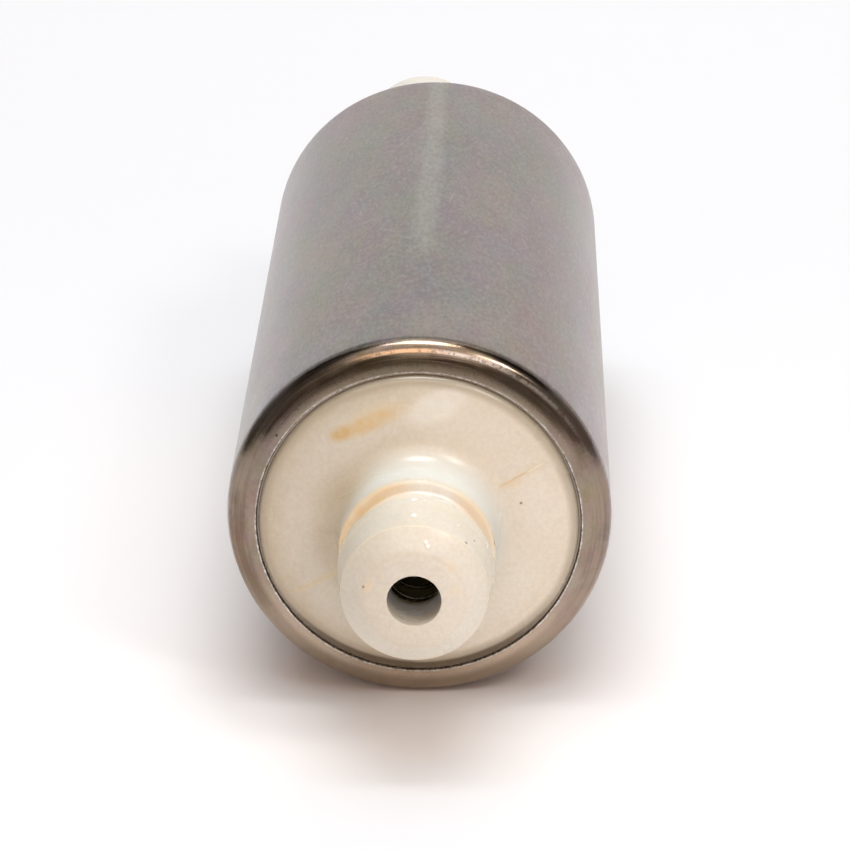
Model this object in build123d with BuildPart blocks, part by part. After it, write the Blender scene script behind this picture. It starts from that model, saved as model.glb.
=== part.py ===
from build123d import *
import os
from math import acos, asin, atan2, cos, degrees, hypot, pi, radians, sin, sqrt

# Electric fuel pump. The pump's axis is Y, the delivery spigot points to -Y and +Z is up.
# The origin is on the axis at the middle of the can. Sizes are in millimetres.

# Can, rolled over at both ends: a tight bend that runs out into the lip's shallow crown.
# The two angles are those of the roll's surface to the can's end plane.
can_length = 98.0
can_radius = 21.5
can_wall = 1.2
lip_width = 3.4
roll_bend = 2.0
roll_inner_bend = 1.2
roll_break_angle = 30.0
lip_tilt_angle = 12.0

# Fits
pack_clearance = 0.1
boss_clearance = 0.25
running_clearance = 0.05
journal_clearance = 0.03
face_clearance = 0.03
guide_clearance = 0.08
thrust_clearance = 0.3
contact_clearance = 0.02

# Moulded covers at both ends
cover_plate = 4.0
cover_skirt = 3.2
skirt_wall = 2.6
boss_edge = 0.9
boss_rise = 0.5
seal_groove_width = 2.4
seal_groove_depth = 1.5
seal_corner = 0.6

# Delivery spigot of the front cover
front_cone_rise = 0.9
base_radius = 8.6
base_fillet = 3.0
base_height = 7.65
neck_radius = 7.3
neck_length = 4.0
bead_rear_radius = 8.56
bead_front_radius = 7.93
bead_length = 6.15
nose_length = 1.95
nose_face_radius = 5.43
nose_round = 3.0
delivery_bore = 2.9
delivery_bore_length = 5.9
edge_round = 0.35

# Check valve in the delivery spigot
chamber_radius = 3.7
valve_seat_radius = 4.6
valve_port_radius = 2.2
plunger_tip_radius = 1.2
plunger_guide_length = 2.25
plunger_flat = 3.0
plunger_stem_radius = 2.2
plunger_stem_length = 4.0
valve_wire = 0.2
valve_coil_radius = 3.15
valve_turns = 5.5

# Pump pack: two port plates and the eccentric ring between them
outlet_plate_thickness = 4.0
pump_ring_thickness = 8.0
inlet_plate_thickness = 5.0
port_margin_inner = 0.3
port_margin_outer = 0.4
port_arc = 132.0
bearing_radius = 4.5
front_bearing_length = 4.8
bearing_boss_wall = 1.9
bearing_boss_end = 0.8
bearing_recess = 0.25
shaft_hole_clearance = 0.4

# Gerotor: the outer rotor has one tooth more than the inner rotor. The trochoid ratio is the
# lobe centres' radius over the outer rotor's rolling radius, and the lobe ratio is a lobe's
# radius over the lobe centres' radius.
inner_teeth = 6
trochoid_ratio = 1.369
lobe_ratio = 0.348
lobe_backing = 1.5
lobe_root_clearance = 0.1
ring_wall = 7.2
points_per_tooth = 16

# Relief valve in the thick side of the eccentric ring
relief_inset = 4.8
relief_bore = 2.2
relief_port = 1.2
relief_ball_radius = 1.8
relief_wire = 0.2
relief_coil_radius = 1.3
relief_turns = 6.5
relief_plug_length = 3.0
relief_vent = 0.9

# Screws that hold the pump pack together
pack_screw_inset = 3.6
pack_screw_radius = 1.5
pack_screw_head = 2.6
pack_screw_head_height = 1.8
pack_screw_hex = 2.0
pack_screw_bite = 3.0
pack_screw_clearance = 0.1

# Shaft and its drive key
shaft_radius = 3.5
journal_radius = 3.0
shaft_end_room = 0.3
key_width = 2.0
key_depth = 1.0
key_height = 2.0
key_clearance = 0.05
shaft_chamfer = 0.4

# Armature
air_gap = 0.5
slot_count = 8
slot_bottom = 6.8
tooth_tip = 1.7
tooth_width = 3.6
slot_opening = 1.6
end_turn_length = 7.0
end_turn_inner = 5.4
end_turn_room = 1.5
end_turn_rounding = 0.275
insulator_thickness = 0.8
washer_thickness = 0.8
washer_radius = 5.5

# Commutator and brushes
commutator_inset = 2.6
commutator_inner = 6.5
commutator_height = 5.0
segment_thickness = 1.5
segment_gap = 0.6
tang_length = 0.9
tang_width = 2.0
tang_thickness = 0.8
brush_inset = 0.7
brush_tangential = 7.0
brush_length = 8.5
brush_wire = 0.13
brush_coil_radius = 1.5
brush_turns = 9.5
lead_radius = 0.45

# Brush holder
holder_flange = 3.0
guide_length = 15.5
guide_wall = 1.0
guide_reach = 1.5
rear_bearing_length = 6.0
window_inner = 7.5
window_inset = 4.7
window_arc = 100.0

# Field magnets inside the steel flux ring
flux_wall = 1.6
magnet_thickness = 3.0
magnet_overhang = 5.55
magnet_arc = 130.0
clip_thickness = 0.6
clip_inset = 6.0

# Inlet spigot and connector of the rear cover
inlet_x = -2.0
inlet_edge = 1.3
inlet_base_radius = 7.95
inlet_base_height = 5.0
inlet_neck_radius = 7.0
inlet_neck_length = 6.0
inlet_bead_radius = 8.4
inlet_bead_taper = 0.56
inlet_bead_length = 5.6
inlet_nose_length = 2.4
inlet_face_radius = 5.5
inlet_bore = 4.2
connector_edge = 2.35
connector_width = 13.8
connector_height = 11.0
connector_wall = 1.4
connector_length = 13.0
connector_corner = 2.0
spigot_root = 1.2
connector_root = 0.8
terminal_thickness = 0.8
terminal_pitch = 7.0
terminal_positive_width = 6.3
terminal_negative_width = 4.8
terminal_setback = 2.0
strap_width = 4.0

# Stations along the axis
can_front = -can_length / 2
can_rear = can_length / 2
cover_front = can_front + can_wall
cover_cavity = cover_front + cover_plate
outlet_plate_front = cover_cavity + cover_skirt
outlet_plate_rear = outlet_plate_front + outlet_plate_thickness
pump_ring_rear = outlet_plate_rear + pump_ring_thickness
inlet_plate_rear = pump_ring_rear + inlet_plate_thickness
rear_cover_rear = can_rear - can_wall
rear_cavity = rear_cover_rear - cover_plate
rear_cover_front = rear_cavity - cover_skirt
holder_front = rear_cover_front - holder_flange
guide_rear = rear_cavity - terminal_thickness
guide_front = guide_rear - guide_length

# Radii that follow the can
lip_opening = can_radius - lip_width
can_inner = can_radius - can_wall
pack_radius = can_inner - pack_clearance
boss_radius = lip_opening - boss_clearance
cavity_radius = pack_radius - skirt_wall
magnet_outer = pack_radius - flux_wall
magnet_inner = magnet_outer - magnet_thickness
armature_radius = magnet_inner - air_gap
slot_top = armature_radius - tooth_tip
commutator_radius = armature_radius - commutator_inset
pack_screw_offset = pack_radius - pack_screw_inset
relief_offset = pack_radius - relief_inset
inlet_z = boss_radius - inlet_base_radius - inlet_edge
connector_z = connector_edge + connector_height / 2 - boss_radius

# Gerotor sizes that follow the room in the pump ring
outer_teeth = inner_teeth + 1
outer_rotor_radius = pack_radius - ring_wall
lobe_centre_radius = outer_rotor_radius - lobe_backing
eccentricity = lobe_centre_radius / (trochoid_ratio * outer_teeth)
lobe_radius = lobe_ratio * lobe_centre_radius
root_radius = lobe_centre_radius + 2 * eccentricity - lobe_radius + lobe_root_clearance
port_inner = lobe_centre_radius - eccentricity - lobe_radius + port_margin_inner
port_outer = root_radius - port_margin_outer


def section(y):
    """Plane across the pump at y; what is extruded from it grows towards the front."""
    return Plane.XZ.offset(-y)


def ring_edges(block, y, radius):
    """Circular edges of a turned piece at one station and radius."""
    found = []
    for edge in block.edges().filter_by(GeomType.CIRCLE):
        if abs(edge.radius - radius) < 0.01 and abs(edge.arc_center.Y - y) < 0.01:
            found.append(edge)
    return found


def turned(points):
    """Closed half section of a turned piece, each point an axial station and a radius."""
    with BuildSketch() as half_section:
        with BuildLine():
            Polyline(*points, close=True)
        make_face()
    return half_section.sketch_local


def coil(x, z, coil_radius, wire, front, rear, turns):
    """Centre line of a right-hand coil spring along Y whose first and last turns lie closed."""
    steps = 8
    closed_pitch = 2.1 * wire
    length = rear - front - 2 * wire
    open_pitch = (length - 2 * closed_pitch) / (turns - 2)
    count = round(turns * steps)
    points = []
    for index in range(count + 1):
        turn = index / steps
        closed_turns = min(turn, 1) + max(turn - (turns - 1), 0)
        along = closed_pitch * closed_turns + open_pitch * (turn - closed_turns)
        angle = 2 * pi * turn
        y = front + wire + along
        points.append((x + coil_radius * cos(angle), y, z - coil_radius * sin(angle)))
    return points


os.makedirs("parts", exist_ok=True)

# Can: a drawn steel tube whose two ends are rolled over the covers
lip_tilt = radians(lip_tilt_angle)
roll_break = radians(roll_break_angle)
lip_crown = (lip_width - roll_bend * (1 - sin(roll_break))) / (sin(roll_break) - sin(lip_tilt))
crown_depth = lip_crown * (cos(lip_tilt) - cos(roll_break))
crown_radius = can_radius - roll_bend * (1 - sin(roll_break))
roll_length = crown_depth + roll_bend * cos(roll_break)
with BuildPart() as can:
    with BuildSketch(Plane.YZ):
        with BuildLine():
            front_lip = Line((cover_front, lip_opening), (can_front, lip_opening))
            front_crown = RadiusArc(
                front_lip @ 1, (can_front + crown_depth, crown_radius), lip_crown
            )
            front_bend = RadiusArc(
                front_crown @ 1, (can_front + roll_length, can_radius), roll_bend
            )
            barrel = Line(front_bend @ 1, (can_rear - roll_length, can_radius))
            rear_bend = RadiusArc(barrel @ 1, (can_rear - crown_depth, crown_radius), roll_bend)
            rear_crown = RadiusArc(rear_bend @ 1, (can_rear, lip_opening), lip_crown)
            rear_lip = Line(rear_crown @ 1, (rear_cover_rear, lip_opening))
            rear_seat = Line(rear_lip @ 1, (rear_cover_rear, can_inner - roll_inner_bend))
            rear_corner = RadiusArc(
                rear_seat @ 1, (rear_cover_rear - roll_inner_bend, can_inner), -roll_inner_bend
            )
            bore = Line(rear_corner @ 1, (cover_front + roll_inner_bend, can_inner))
            front_corner = RadiusArc(
                bore @ 1, (cover_front, can_inner - roll_inner_bend), -roll_inner_bend
            )
            Line(front_corner @ 1, front_lip @ 0)
        make_face()
    revolve(axis=Axis.Y)
can.part.label = "can"
export_step(can.part, "parts/can.step")

# Front cover: flange, dished face and delivery spigot with the valve chamber, one moulding
seal_groove_radius = pack_radius - seal_groove_depth
flange_length = cover_plate + cover_skirt
groove_front = cover_front + (flange_length - seal_groove_width) / 2
groove_rear = groove_front + seal_groove_width
base_front = can_front - base_height
bead_rear = base_front - neck_length
bead_front = bead_rear - bead_length
nose_front = bead_front - nose_length
chamber_front = nose_front + delivery_bore_length
cone_root = can_front - boss_rise - front_cone_rise
with BuildPart() as front_cover:
    with BuildSketch(Plane.YZ):
        add(turned([
            (nose_front, delivery_bore),
            (nose_front, nose_face_radius),
            (bead_front, bead_front_radius),
            (bead_rear, bead_rear_radius),
            (bead_rear, neck_radius),
            (base_front, neck_radius),
            (base_front, base_radius),
            (cone_root, base_radius),
            (can_front - boss_rise, boss_radius),
            (cover_front, boss_radius),
            (cover_front, pack_radius),
            (groove_front, pack_radius),
            (groove_front, seal_groove_radius),
            (groove_rear, seal_groove_radius),
            (groove_rear, pack_radius),
            (outlet_plate_front, pack_radius),
            (outlet_plate_front, cavity_radius),
            (cover_cavity, cavity_radius),
            (cover_cavity, valve_seat_radius),
            (cover_front, valve_seat_radius),
            (cover_front, chamber_radius),
            (chamber_front, chamber_radius),
            (chamber_front, delivery_bore),
        ]))
    revolve(axis=Axis.Y)
    fillet(ring_edges(front_cover, cone_root, base_radius), base_fillet)
    fillet(ring_edges(front_cover, can_front - boss_rise, boss_radius), boss_edge)
    fillet(ring_edges(front_cover, cover_front, pack_radius), roll_inner_bend)
    fillet(ring_edges(front_cover, base_front, base_radius), edge_round)
    fillet(ring_edges(front_cover, bead_rear, bead_rear_radius), edge_round)
    fillet(ring_edges(front_cover, bead_front, bead_front_radius), edge_round)
    fillet(ring_edges(front_cover, nose_front, nose_face_radius), nose_round)
front_cover.part.label = "front_cover"
export_step(front_cover.part, "parts/front_cover.step")

# Seals: rubber rings squeezed between each cover's groove and the can
rear_groove_rear = rear_cover_rear - (flange_length - seal_groove_width) / 2
rear_groove_front = rear_groove_rear - seal_groove_width
for seal_name, seal_front in (("front_seal", groove_front), ("rear_seal", rear_groove_front)):
    with BuildPart() as seal:
        with BuildSketch(Plane.YZ):
            seal_middle = (seal_groove_radius + can_inner) / 2
            with Locations((seal_front + seal_groove_width / 2, seal_middle)):
                RectangleRounded(
                    seal_groove_width, can_inner - seal_groove_radius, seal_corner
                )
        revolve(axis=Axis.Y)
    seal.part.label = seal_name
    export_step(seal.part, f"parts/{seal_name}.step")

# Valve seat: a brass ring pressed into the front cover from behind
with BuildPart() as valve_seat:
    with BuildSketch(section(cover_cavity)):
        Circle(valve_seat_radius)
        Circle(valve_port_radius, mode=Mode.SUBTRACT)
    extrude(amount=cover_plate)
    chamfer(ring_edges(valve_seat, cover_cavity, valve_port_radius), edge_round)
valve_seat.part.label = "valve_seat"
export_step(valve_seat.part, "parts/valve_seat.step")

# Valve plunger: its cone closes the seat, its four flats let the fuel past
plunger_radius = chamber_radius - running_clearance
cone_contact = cover_front - contact_clearance
cone_tip = cone_contact + (valve_port_radius - plunger_tip_radius)
guide_rear_edge = cone_contact - (plunger_radius - valve_port_radius)
plunger_step = guide_rear_edge - plunger_guide_length
stem_front = plunger_step - plunger_stem_length
with BuildPart() as valve_plunger:
    with BuildSketch(Plane.YZ):
        add(turned([
            (cone_tip, 0),
            (cone_tip, plunger_tip_radius),
            (guide_rear_edge, plunger_radius),
            (plunger_step, plunger_radius),
            (plunger_step, plunger_stem_radius),
            (stem_front, plunger_stem_radius),
            (stem_front, 0),
        ]))
    revolve(axis=Axis.Y)
    with BuildSketch(section(cone_tip)):
        Circle(chamber_radius)
        Rectangle(2 * plunger_flat, 2 * plunger_flat, mode=Mode.SUBTRACT)
    extrude(amount=cone_tip - plunger_step, mode=Mode.SUBTRACT)
    chamfer(ring_edges(valve_plunger, stem_front, plunger_stem_radius), edge_round)
valve_plunger.part.label = "valve_plunger"
export_step(valve_plunger.part, "parts/valve_plunger.step")

# Valve spring: from the shoulder behind the delivery bore to the plunger's step
with BuildPart() as valve_spring:
    with BuildLine() as valve_wire_path:
        Spline(*coil(
            0, 0, valve_coil_radius, valve_wire, chamber_front, plunger_step, valve_turns
        ))
    with BuildSketch(Plane(valve_wire_path.line @ 0, z_dir=valve_wire_path.line % 0)):
        Circle(valve_wire)
    sweep(is_frenet=True)
valve_spring.part.label = "valve_spring"
export_step(valve_spring.part, "parts/valve_spring.step")

# Outlet plate: delivery port below, relief port on the thick side, blind front bearing boss
port_radius = (port_inner + port_outer) / 2
port_width = port_outer - port_inner
delivery_port_path = CenterArc((0, 0), port_radius, -90 - port_arc / 2, port_arc)
suction_port_path = CenterArc((0, 0), port_radius, 90 - port_arc / 2, port_arc)
front_bearing_rear = outlet_plate_rear - bearing_recess
front_bearing_front = front_bearing_rear - front_bearing_length
boss_end = front_bearing_front - bearing_boss_end
ball_centre = outlet_plate_rear + contact_clearance + sqrt(relief_ball_radius**2 - relief_port**2)
with BuildPart() as outlet_plate:
    with BuildSketch(section(outlet_plate_rear)):
        Circle(pack_radius)
    extrude(amount=outlet_plate_thickness)
    with BuildSketch(section(outlet_plate_front)):
        Circle(bearing_radius + bearing_boss_wall)
    extrude(amount=outlet_plate_front - boss_end)
    with BuildSketch(section(outlet_plate_rear)):
        Circle(bearing_radius)
    extrude(amount=outlet_plate_rear - front_bearing_front, mode=Mode.SUBTRACT)
    with BuildSketch(section(outlet_plate_rear)):
        with Locations((eccentricity / 2, 0)):
            SlotArc(delivery_port_path, port_width)
        with Locations((-relief_offset, 0)):
            Circle(relief_port)
    extrude(amount=outlet_plate_thickness, mode=Mode.SUBTRACT)
    with BuildSketch(section(outlet_plate_rear)):
        with Locations((0, pack_screw_offset), (0, -pack_screw_offset)):
            Circle(pack_screw_radius)
    extrude(amount=pack_screw_bite, mode=Mode.SUBTRACT)
outlet_plate.part.label = "outlet_plate"
export_step(outlet_plate.part, "parts/outlet_plate.step")

# Front bearing: a sintered bush in the outlet plate
with BuildPart() as front_bearing:
    with BuildSketch(section(front_bearing_rear)):
        Circle(bearing_radius)
        Circle(journal_radius + journal_clearance, mode=Mode.SUBTRACT)
    extrude(amount=front_bearing_length)
    chamfer(ring_edges(front_bearing, front_bearing_rear, bearing_radius), edge_round)
front_bearing.part.label = "front_bearing"
export_step(front_bearing.part, "parts/front_bearing.step")

# Pump ring: its off-centre pocket carries the outer rotor
with BuildPart() as pump_ring:
    with BuildSketch(section(pump_ring_rear)):
        Circle(pack_radius)
        with Locations((eccentricity, 0)):
            Circle(outer_rotor_radius + running_clearance, mode=Mode.SUBTRACT)
        with Locations((-relief_offset, 0)):
            Circle(relief_bore, mode=Mode.SUBTRACT)
        with Locations((0, pack_screw_offset), (0, -pack_screw_offset)):
            Circle(pack_screw_radius + pack_screw_clearance, mode=Mode.SUBTRACT)
    extrude(amount=pump_ring_thickness)
pump_ring.part.label = "pump_ring"
export_step(pump_ring.part, "parts/pump_ring.step")

# Outer rotor: seven round lobes joined by stretches of the root circle
rotor_rear = pump_ring_rear - face_clearance
rotor_length = pump_ring_thickness - 2 * face_clearance
root_cosine = (lobe_centre_radius**2 + root_radius**2 - lobe_radius**2) / (
    2 * lobe_centre_radius * root_radius
)
lobe_half_angle = acos(root_cosine)
lobe_top = lobe_centre_radius - lobe_radius
with BuildPart() as outer_rotor:
    with BuildSketch(section(rotor_rear)):
        with Locations((eccentricity, 0)):
            Circle(outer_rotor_radius)
        with BuildLine():
            for tooth in range(outer_teeth):
                middle = 2 * pi * tooth / outer_teeth
                begin = middle - lobe_half_angle
                end = middle + lobe_half_angle
                next_begin = begin + 2 * pi / outer_teeth
                gap_middle = (end + next_begin) / 2
                rim = []
                for radius, angle in (
                    (root_radius, begin),
                    (lobe_top, middle),
                    (root_radius, end),
                    (root_radius, gap_middle),
                    (root_radius, next_begin),
                ):
                    rim.append((eccentricity + radius * cos(angle), radius * sin(angle)))
                ThreePointArc(rim[0], rim[1], rim[2])
                ThreePointArc(rim[2], rim[3], rim[4])
        make_face(mode=Mode.SUBTRACT)
    extrude(amount=rotor_length)
    chamfer(outer_rotor.edges().filter_by(GeomType.CIRCLE).filter_by(
        lambda edge: abs(edge.radius - outer_rotor_radius) < 0.01
    ), edge_round)
outer_rotor.part.label = "outer_rotor"
export_step(outer_rotor.part, "parts/outer_rotor.step")

# Inner rotor: the curve that the outer rotor's round lobes envelop as both turn.
# A lobe's centre runs on an epitrochoid, and the tooth is that curve moved inwards.
inward = lobe_radius + running_clearance
tooth_points = []
for index in range(inner_teeth * points_per_tooth):
    turn = 2 * pi * index / (inner_teeth * points_per_tooth)
    fast = outer_teeth * turn
    path_x = lobe_centre_radius * cos(turn) + eccentricity * cos(fast)
    path_z = lobe_centre_radius * sin(turn) + eccentricity * sin(fast)
    slope_x = -lobe_centre_radius * sin(turn) - outer_teeth * eccentricity * sin(fast)
    slope_z = lobe_centre_radius * cos(turn) + outer_teeth * eccentricity * cos(fast)
    speed = hypot(slope_x, slope_z)
    tooth_points.append((path_x - inward * slope_z / speed, path_z + inward * slope_x / speed))
keyway_side = key_width / 2 + key_clearance
key_bottom = journal_radius - key_depth
key_top = key_bottom + key_height
with BuildPart() as inner_rotor:
    with BuildSketch(section(rotor_rear)):
        with BuildLine():
            Spline(*tooth_points, periodic=True)
        make_face()
        Circle(journal_radius, mode=Mode.SUBTRACT)
        with Locations((0, (key_top + key_clearance) / 2)):
            Rectangle(2 * keyway_side, key_top + key_clearance, mode=Mode.SUBTRACT)
    extrude(amount=rotor_length)
inner_rotor.part.label = "inner_rotor"
export_step(inner_rotor.part, "parts/inner_rotor.step")

# Drive key between the shaft and the inner rotor, round at both ends
with BuildPart() as drive_key:
    with BuildSketch(Plane.XY.offset(key_bottom)):
        with Locations((0, rotor_rear - rotor_length / 2)):
            SlotOverall(rotor_length, key_width, rotation=90)
    extrude(amount=key_height)
drive_key.part.label = "drive_key"
export_step(drive_key.part, "parts/drive_key.step")

# Inlet plate: suction port above, relief vent, counterbores for the pack screws
plug_front = inlet_plate_rear - relief_plug_length
with BuildPart() as inlet_plate:
    with BuildSketch(section(inlet_plate_rear)):
        Circle(pack_radius)
        Circle(journal_radius + shaft_hole_clearance, mode=Mode.SUBTRACT)
        with Locations((eccentricity / 2, 0)):
            SlotArc(suction_port_path, port_width, mode=Mode.SUBTRACT)
        with Locations((-relief_offset, 0)):
            Circle(relief_bore, mode=Mode.SUBTRACT)
        with Locations((0, pack_screw_offset), (0, -pack_screw_offset)):
            Circle(pack_screw_radius + pack_screw_clearance, mode=Mode.SUBTRACT)
    extrude(amount=inlet_plate_thickness)
    with BuildSketch(section(inlet_plate_rear)):
        with Locations((0, pack_screw_offset), (0, -pack_screw_offset)):
            Circle(pack_screw_head + pack_screw_clearance)
    extrude(amount=pack_screw_head_height, mode=Mode.SUBTRACT)
inlet_plate.part.label = "inlet_plate"
export_step(inlet_plate.part, "parts/inlet_plate.step")

# Pack screws: two socket screws from the motor side into the outlet plate
screw_head_front = inlet_plate_rear - pack_screw_head_height
screw_length = screw_head_front - (outlet_plate_rear - pack_screw_bite)
with BuildPart() as pack_screws:
    with BuildSketch(section(inlet_plate_rear)):
        with Locations((0, pack_screw_offset), (0, -pack_screw_offset)):
            Circle(pack_screw_head)
    extrude(amount=pack_screw_head_height)
    with BuildSketch(section(screw_head_front)):
        with Locations((0, pack_screw_offset), (0, -pack_screw_offset)):
            Circle(pack_screw_radius)
    extrude(amount=screw_length)
    with BuildSketch(section(inlet_plate_rear)):
        with Locations((0, pack_screw_offset), (0, -pack_screw_offset)):
            RegularPolygon(pack_screw_hex / 2, 6, major_radius=False)
    extrude(amount=pack_screw_head_height / 2, mode=Mode.SUBTRACT)
pack_screws.part.label = "pack_screws"
export_step(pack_screws.part, "parts/pack_screws.step")

# Relief valve: a ball on the outlet plate's port, its spring and the vented plug behind
with BuildPart() as relief_ball:
    with Locations((-relief_offset, ball_centre, 0)):
        Sphere(relief_ball_radius)
relief_ball.part.label = "relief_ball"
export_step(relief_ball.part, "parts/relief_ball.step")

with BuildPart() as relief_plug:
    with BuildSketch(section(inlet_plate_rear)):
        with Locations((-relief_offset, 0)):
            Circle(relief_bore)
            Circle(relief_vent, mode=Mode.SUBTRACT)
    extrude(amount=relief_plug_length)
relief_plug.part.label = "relief_plug"
export_step(relief_plug.part, "parts/relief_plug.step")

spring_lift = sqrt((relief_ball_radius + relief_wire) ** 2 - relief_coil_radius**2)
relief_spring_front = ball_centre + spring_lift - relief_wire
with BuildPart() as relief_spring:
    with BuildLine() as relief_wire_path:
        Spline(*coil(
            -relief_offset, 0, relief_coil_radius, relief_wire,
            relief_spring_front, plug_front, relief_turns,
        ))
    with BuildSketch(Plane(relief_wire_path.line @ 0, z_dir=relief_wire_path.line % 0)):
        Circle(relief_wire)
    sweep(is_frenet=True)
relief_spring.part.label = "relief_spring"
export_step(relief_spring.part, "parts/relief_spring.step")

# Stations of the armature, from the shaft's two steps inwards
front_step = inlet_plate_rear + thrust_clearance + washer_thickness
rear_bearing_rear = guide_rear - 2 * bearing_boss_end
rear_bearing_front = rear_bearing_rear - rear_bearing_length
rear_step = rear_bearing_front - thrust_clearance - washer_thickness
commutator_face = guide_front - guide_reach
commutator_front = commutator_face - commutator_height
stack_front = front_step + end_turn_room + end_turn_length + insulator_thickness
stack_rear = commutator_front - end_turn_room - end_turn_length - insulator_thickness
shaft_front = front_bearing_front + shaft_end_room
shaft_rear = rear_bearing_rear - shaft_end_room

# Shaft: ground rod with a journal at each end and the keyway of the inner rotor
with BuildPart() as shaft:
    with BuildSketch(Plane.YZ):
        add(turned([
            (shaft_front, 0),
            (shaft_front, journal_radius),
            (front_step, journal_radius),
            (front_step, shaft_radius),
            (rear_step, shaft_radius),
            (rear_step, journal_radius),
            (shaft_rear, journal_radius),
            (shaft_rear, 0),
        ]))
    revolve(axis=Axis.Y)
    chamfer(ring_edges(shaft, shaft_front, journal_radius), shaft_chamfer)
    chamfer(ring_edges(shaft, shaft_rear, journal_radius), shaft_chamfer)
    with BuildSketch(Plane.XY.offset(key_bottom)):
        with Locations((0, rotor_rear - rotor_length / 2)):
            SlotOverall(rotor_length, key_width, rotation=90)
    extrude(amount=key_depth, mode=Mode.SUBTRACT)
shaft.part.label = "shaft"
export_step(shaft.part, "parts/shaft.step")

# Thrust washers against the shaft's steps
for washer_name, washer_rear in (
    ("front_thrust_washer", front_step),
    ("rear_thrust_washer", rear_step + washer_thickness),
):
    with BuildPart() as thrust_washer:
        with BuildSketch(section(washer_rear)):
            Circle(washer_radius)
            Circle(journal_radius, mode=Mode.SUBTRACT)
        extrude(amount=washer_thickness)
    thrust_washer.part.label = washer_name
    export_step(thrust_washer.part, f"parts/{washer_name}.step")

# Slot outline shared by the laminations, their end insulators and the winding
slot_step = 2 * pi / slot_count
slot_bottom_half = slot_bottom * sin(slot_step / 2) - tooth_width / 2
slot_top_half = slot_top * sin(slot_step / 2) - tooth_width / 2
with BuildSketch() as slot_outline:
    with BuildLine():
        Polyline(
            (slot_bottom, slot_bottom_half),
            (slot_top, slot_top_half),
            (slot_top, -slot_top_half),
            (slot_bottom, -slot_bottom_half),
            close=True,
        )
    make_face()

# Lamination stack: eight teeth with wide tips
with BuildPart() as lamination_stack:
    with BuildSketch(section(stack_rear)):
        Circle(armature_radius)
        Circle(shaft_radius, mode=Mode.SUBTRACT)
        with PolarLocations(0, slot_count):
            add(slot_outline.sketch, mode=Mode.SUBTRACT)
        with PolarLocations((slot_top + armature_radius) / 2, slot_count):
            Rectangle(
                2 * (armature_radius - slot_top), slot_opening, mode=Mode.SUBTRACT
            )
    extrude(amount=stack_rear - stack_front)
lamination_stack.part.label = "lamination_stack"
export_step(lamination_stack.part, "parts/lamination_stack.step")

# End insulators: thin moulded stars with a sleeve on the shaft
for insulator_name, star_rear, sleeve_rear, sleeve_front in (
    ("front_insulator", stack_front, stack_front, front_step),
    ("rear_insulator", stack_rear + insulator_thickness, commutator_front, stack_rear),
):
    with BuildPart() as insulator:
        with BuildSketch(section(star_rear)):
            Circle(slot_top)
            with PolarLocations(0, slot_count):
                add(slot_outline.sketch, mode=Mode.SUBTRACT)
        extrude(amount=insulator_thickness)
        with BuildSketch(section(sleeve_rear)):
            Circle(end_turn_inner)
        extrude(amount=sleeve_rear - sleeve_front)
        with BuildSketch(section(sleeve_rear)):
            Circle(shaft_radius)
        extrude(amount=sleeve_rear - sleeve_front, mode=Mode.SUBTRACT)
    insulator.part.label = insulator_name
    export_step(insulator.part, f"parts/{insulator_name}.step")

# Winding: copper filling the slots and bulging into a rounded ring at each end
front_turn_rear = stack_front - insulator_thickness
rear_turn_front = stack_rear + insulator_thickness
end_turn_round = end_turn_rounding * (slot_top - end_turn_inner)
with BuildPart() as windings:
    with BuildSketch(section(rear_turn_front)):
        with PolarLocations(0, slot_count):
            add(slot_outline.sketch)
    extrude(amount=rear_turn_front - front_turn_rear)
    with BuildSketch(section(front_turn_rear)):
        Circle(slot_top)
        Circle(end_turn_inner, mode=Mode.SUBTRACT)
    extrude(amount=end_turn_length)
    with BuildSketch(section(rear_turn_front + end_turn_length)):
        Circle(slot_top)
        Circle(end_turn_inner, mode=Mode.SUBTRACT)
    extrude(amount=end_turn_length)
    for turn_end in (front_turn_rear - end_turn_length, rear_turn_front + end_turn_length):
        for turn_radius in (slot_top, end_turn_inner):
            fillet(ring_edges(windings, turn_end, turn_radius), end_turn_round)
windings.part.label = "windings"
export_step(windings.part, "parts/windings.step")

# Commutator: a moulded hub and eight copper segments with a tang each
segment_front = commutator_face - segment_thickness
with BuildPart() as commutator_hub:
    with BuildSketch(section(segment_front)):
        Circle(commutator_radius)
    extrude(amount=segment_front - commutator_front)
    with BuildSketch(section(commutator_face)):
        Circle(commutator_inner)
    extrude(amount=segment_thickness)
    with BuildSketch(section(commutator_face)):
        Circle(shaft_radius)
    extrude(amount=commutator_height, mode=Mode.SUBTRACT)
commutator_hub.part.label = "commutator_hub"
export_step(commutator_hub.part, "parts/commutator_hub.step")

with BuildPart() as commutator_segments:
    with BuildSketch(section(commutator_face)):
        Circle(commutator_radius)
        Circle(commutator_inner, mode=Mode.SUBTRACT)
        with PolarLocations(0, slot_count, start_angle=degrees(slot_step) / 2):
            with Locations((commutator_radius, 0)):
                Rectangle(2 * commutator_radius, segment_gap, mode=Mode.SUBTRACT)
    extrude(amount=segment_thickness)
    with BuildSketch(section(segment_front + tang_thickness)):
        with PolarLocations(commutator_radius, slot_count):
            Rectangle(2 * tang_length, tang_width)
    extrude(amount=tang_thickness)
commutator_segments.part.label = "commutator_segments"
export_step(commutator_segments.part, "parts/commutator_segments.step")

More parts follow.
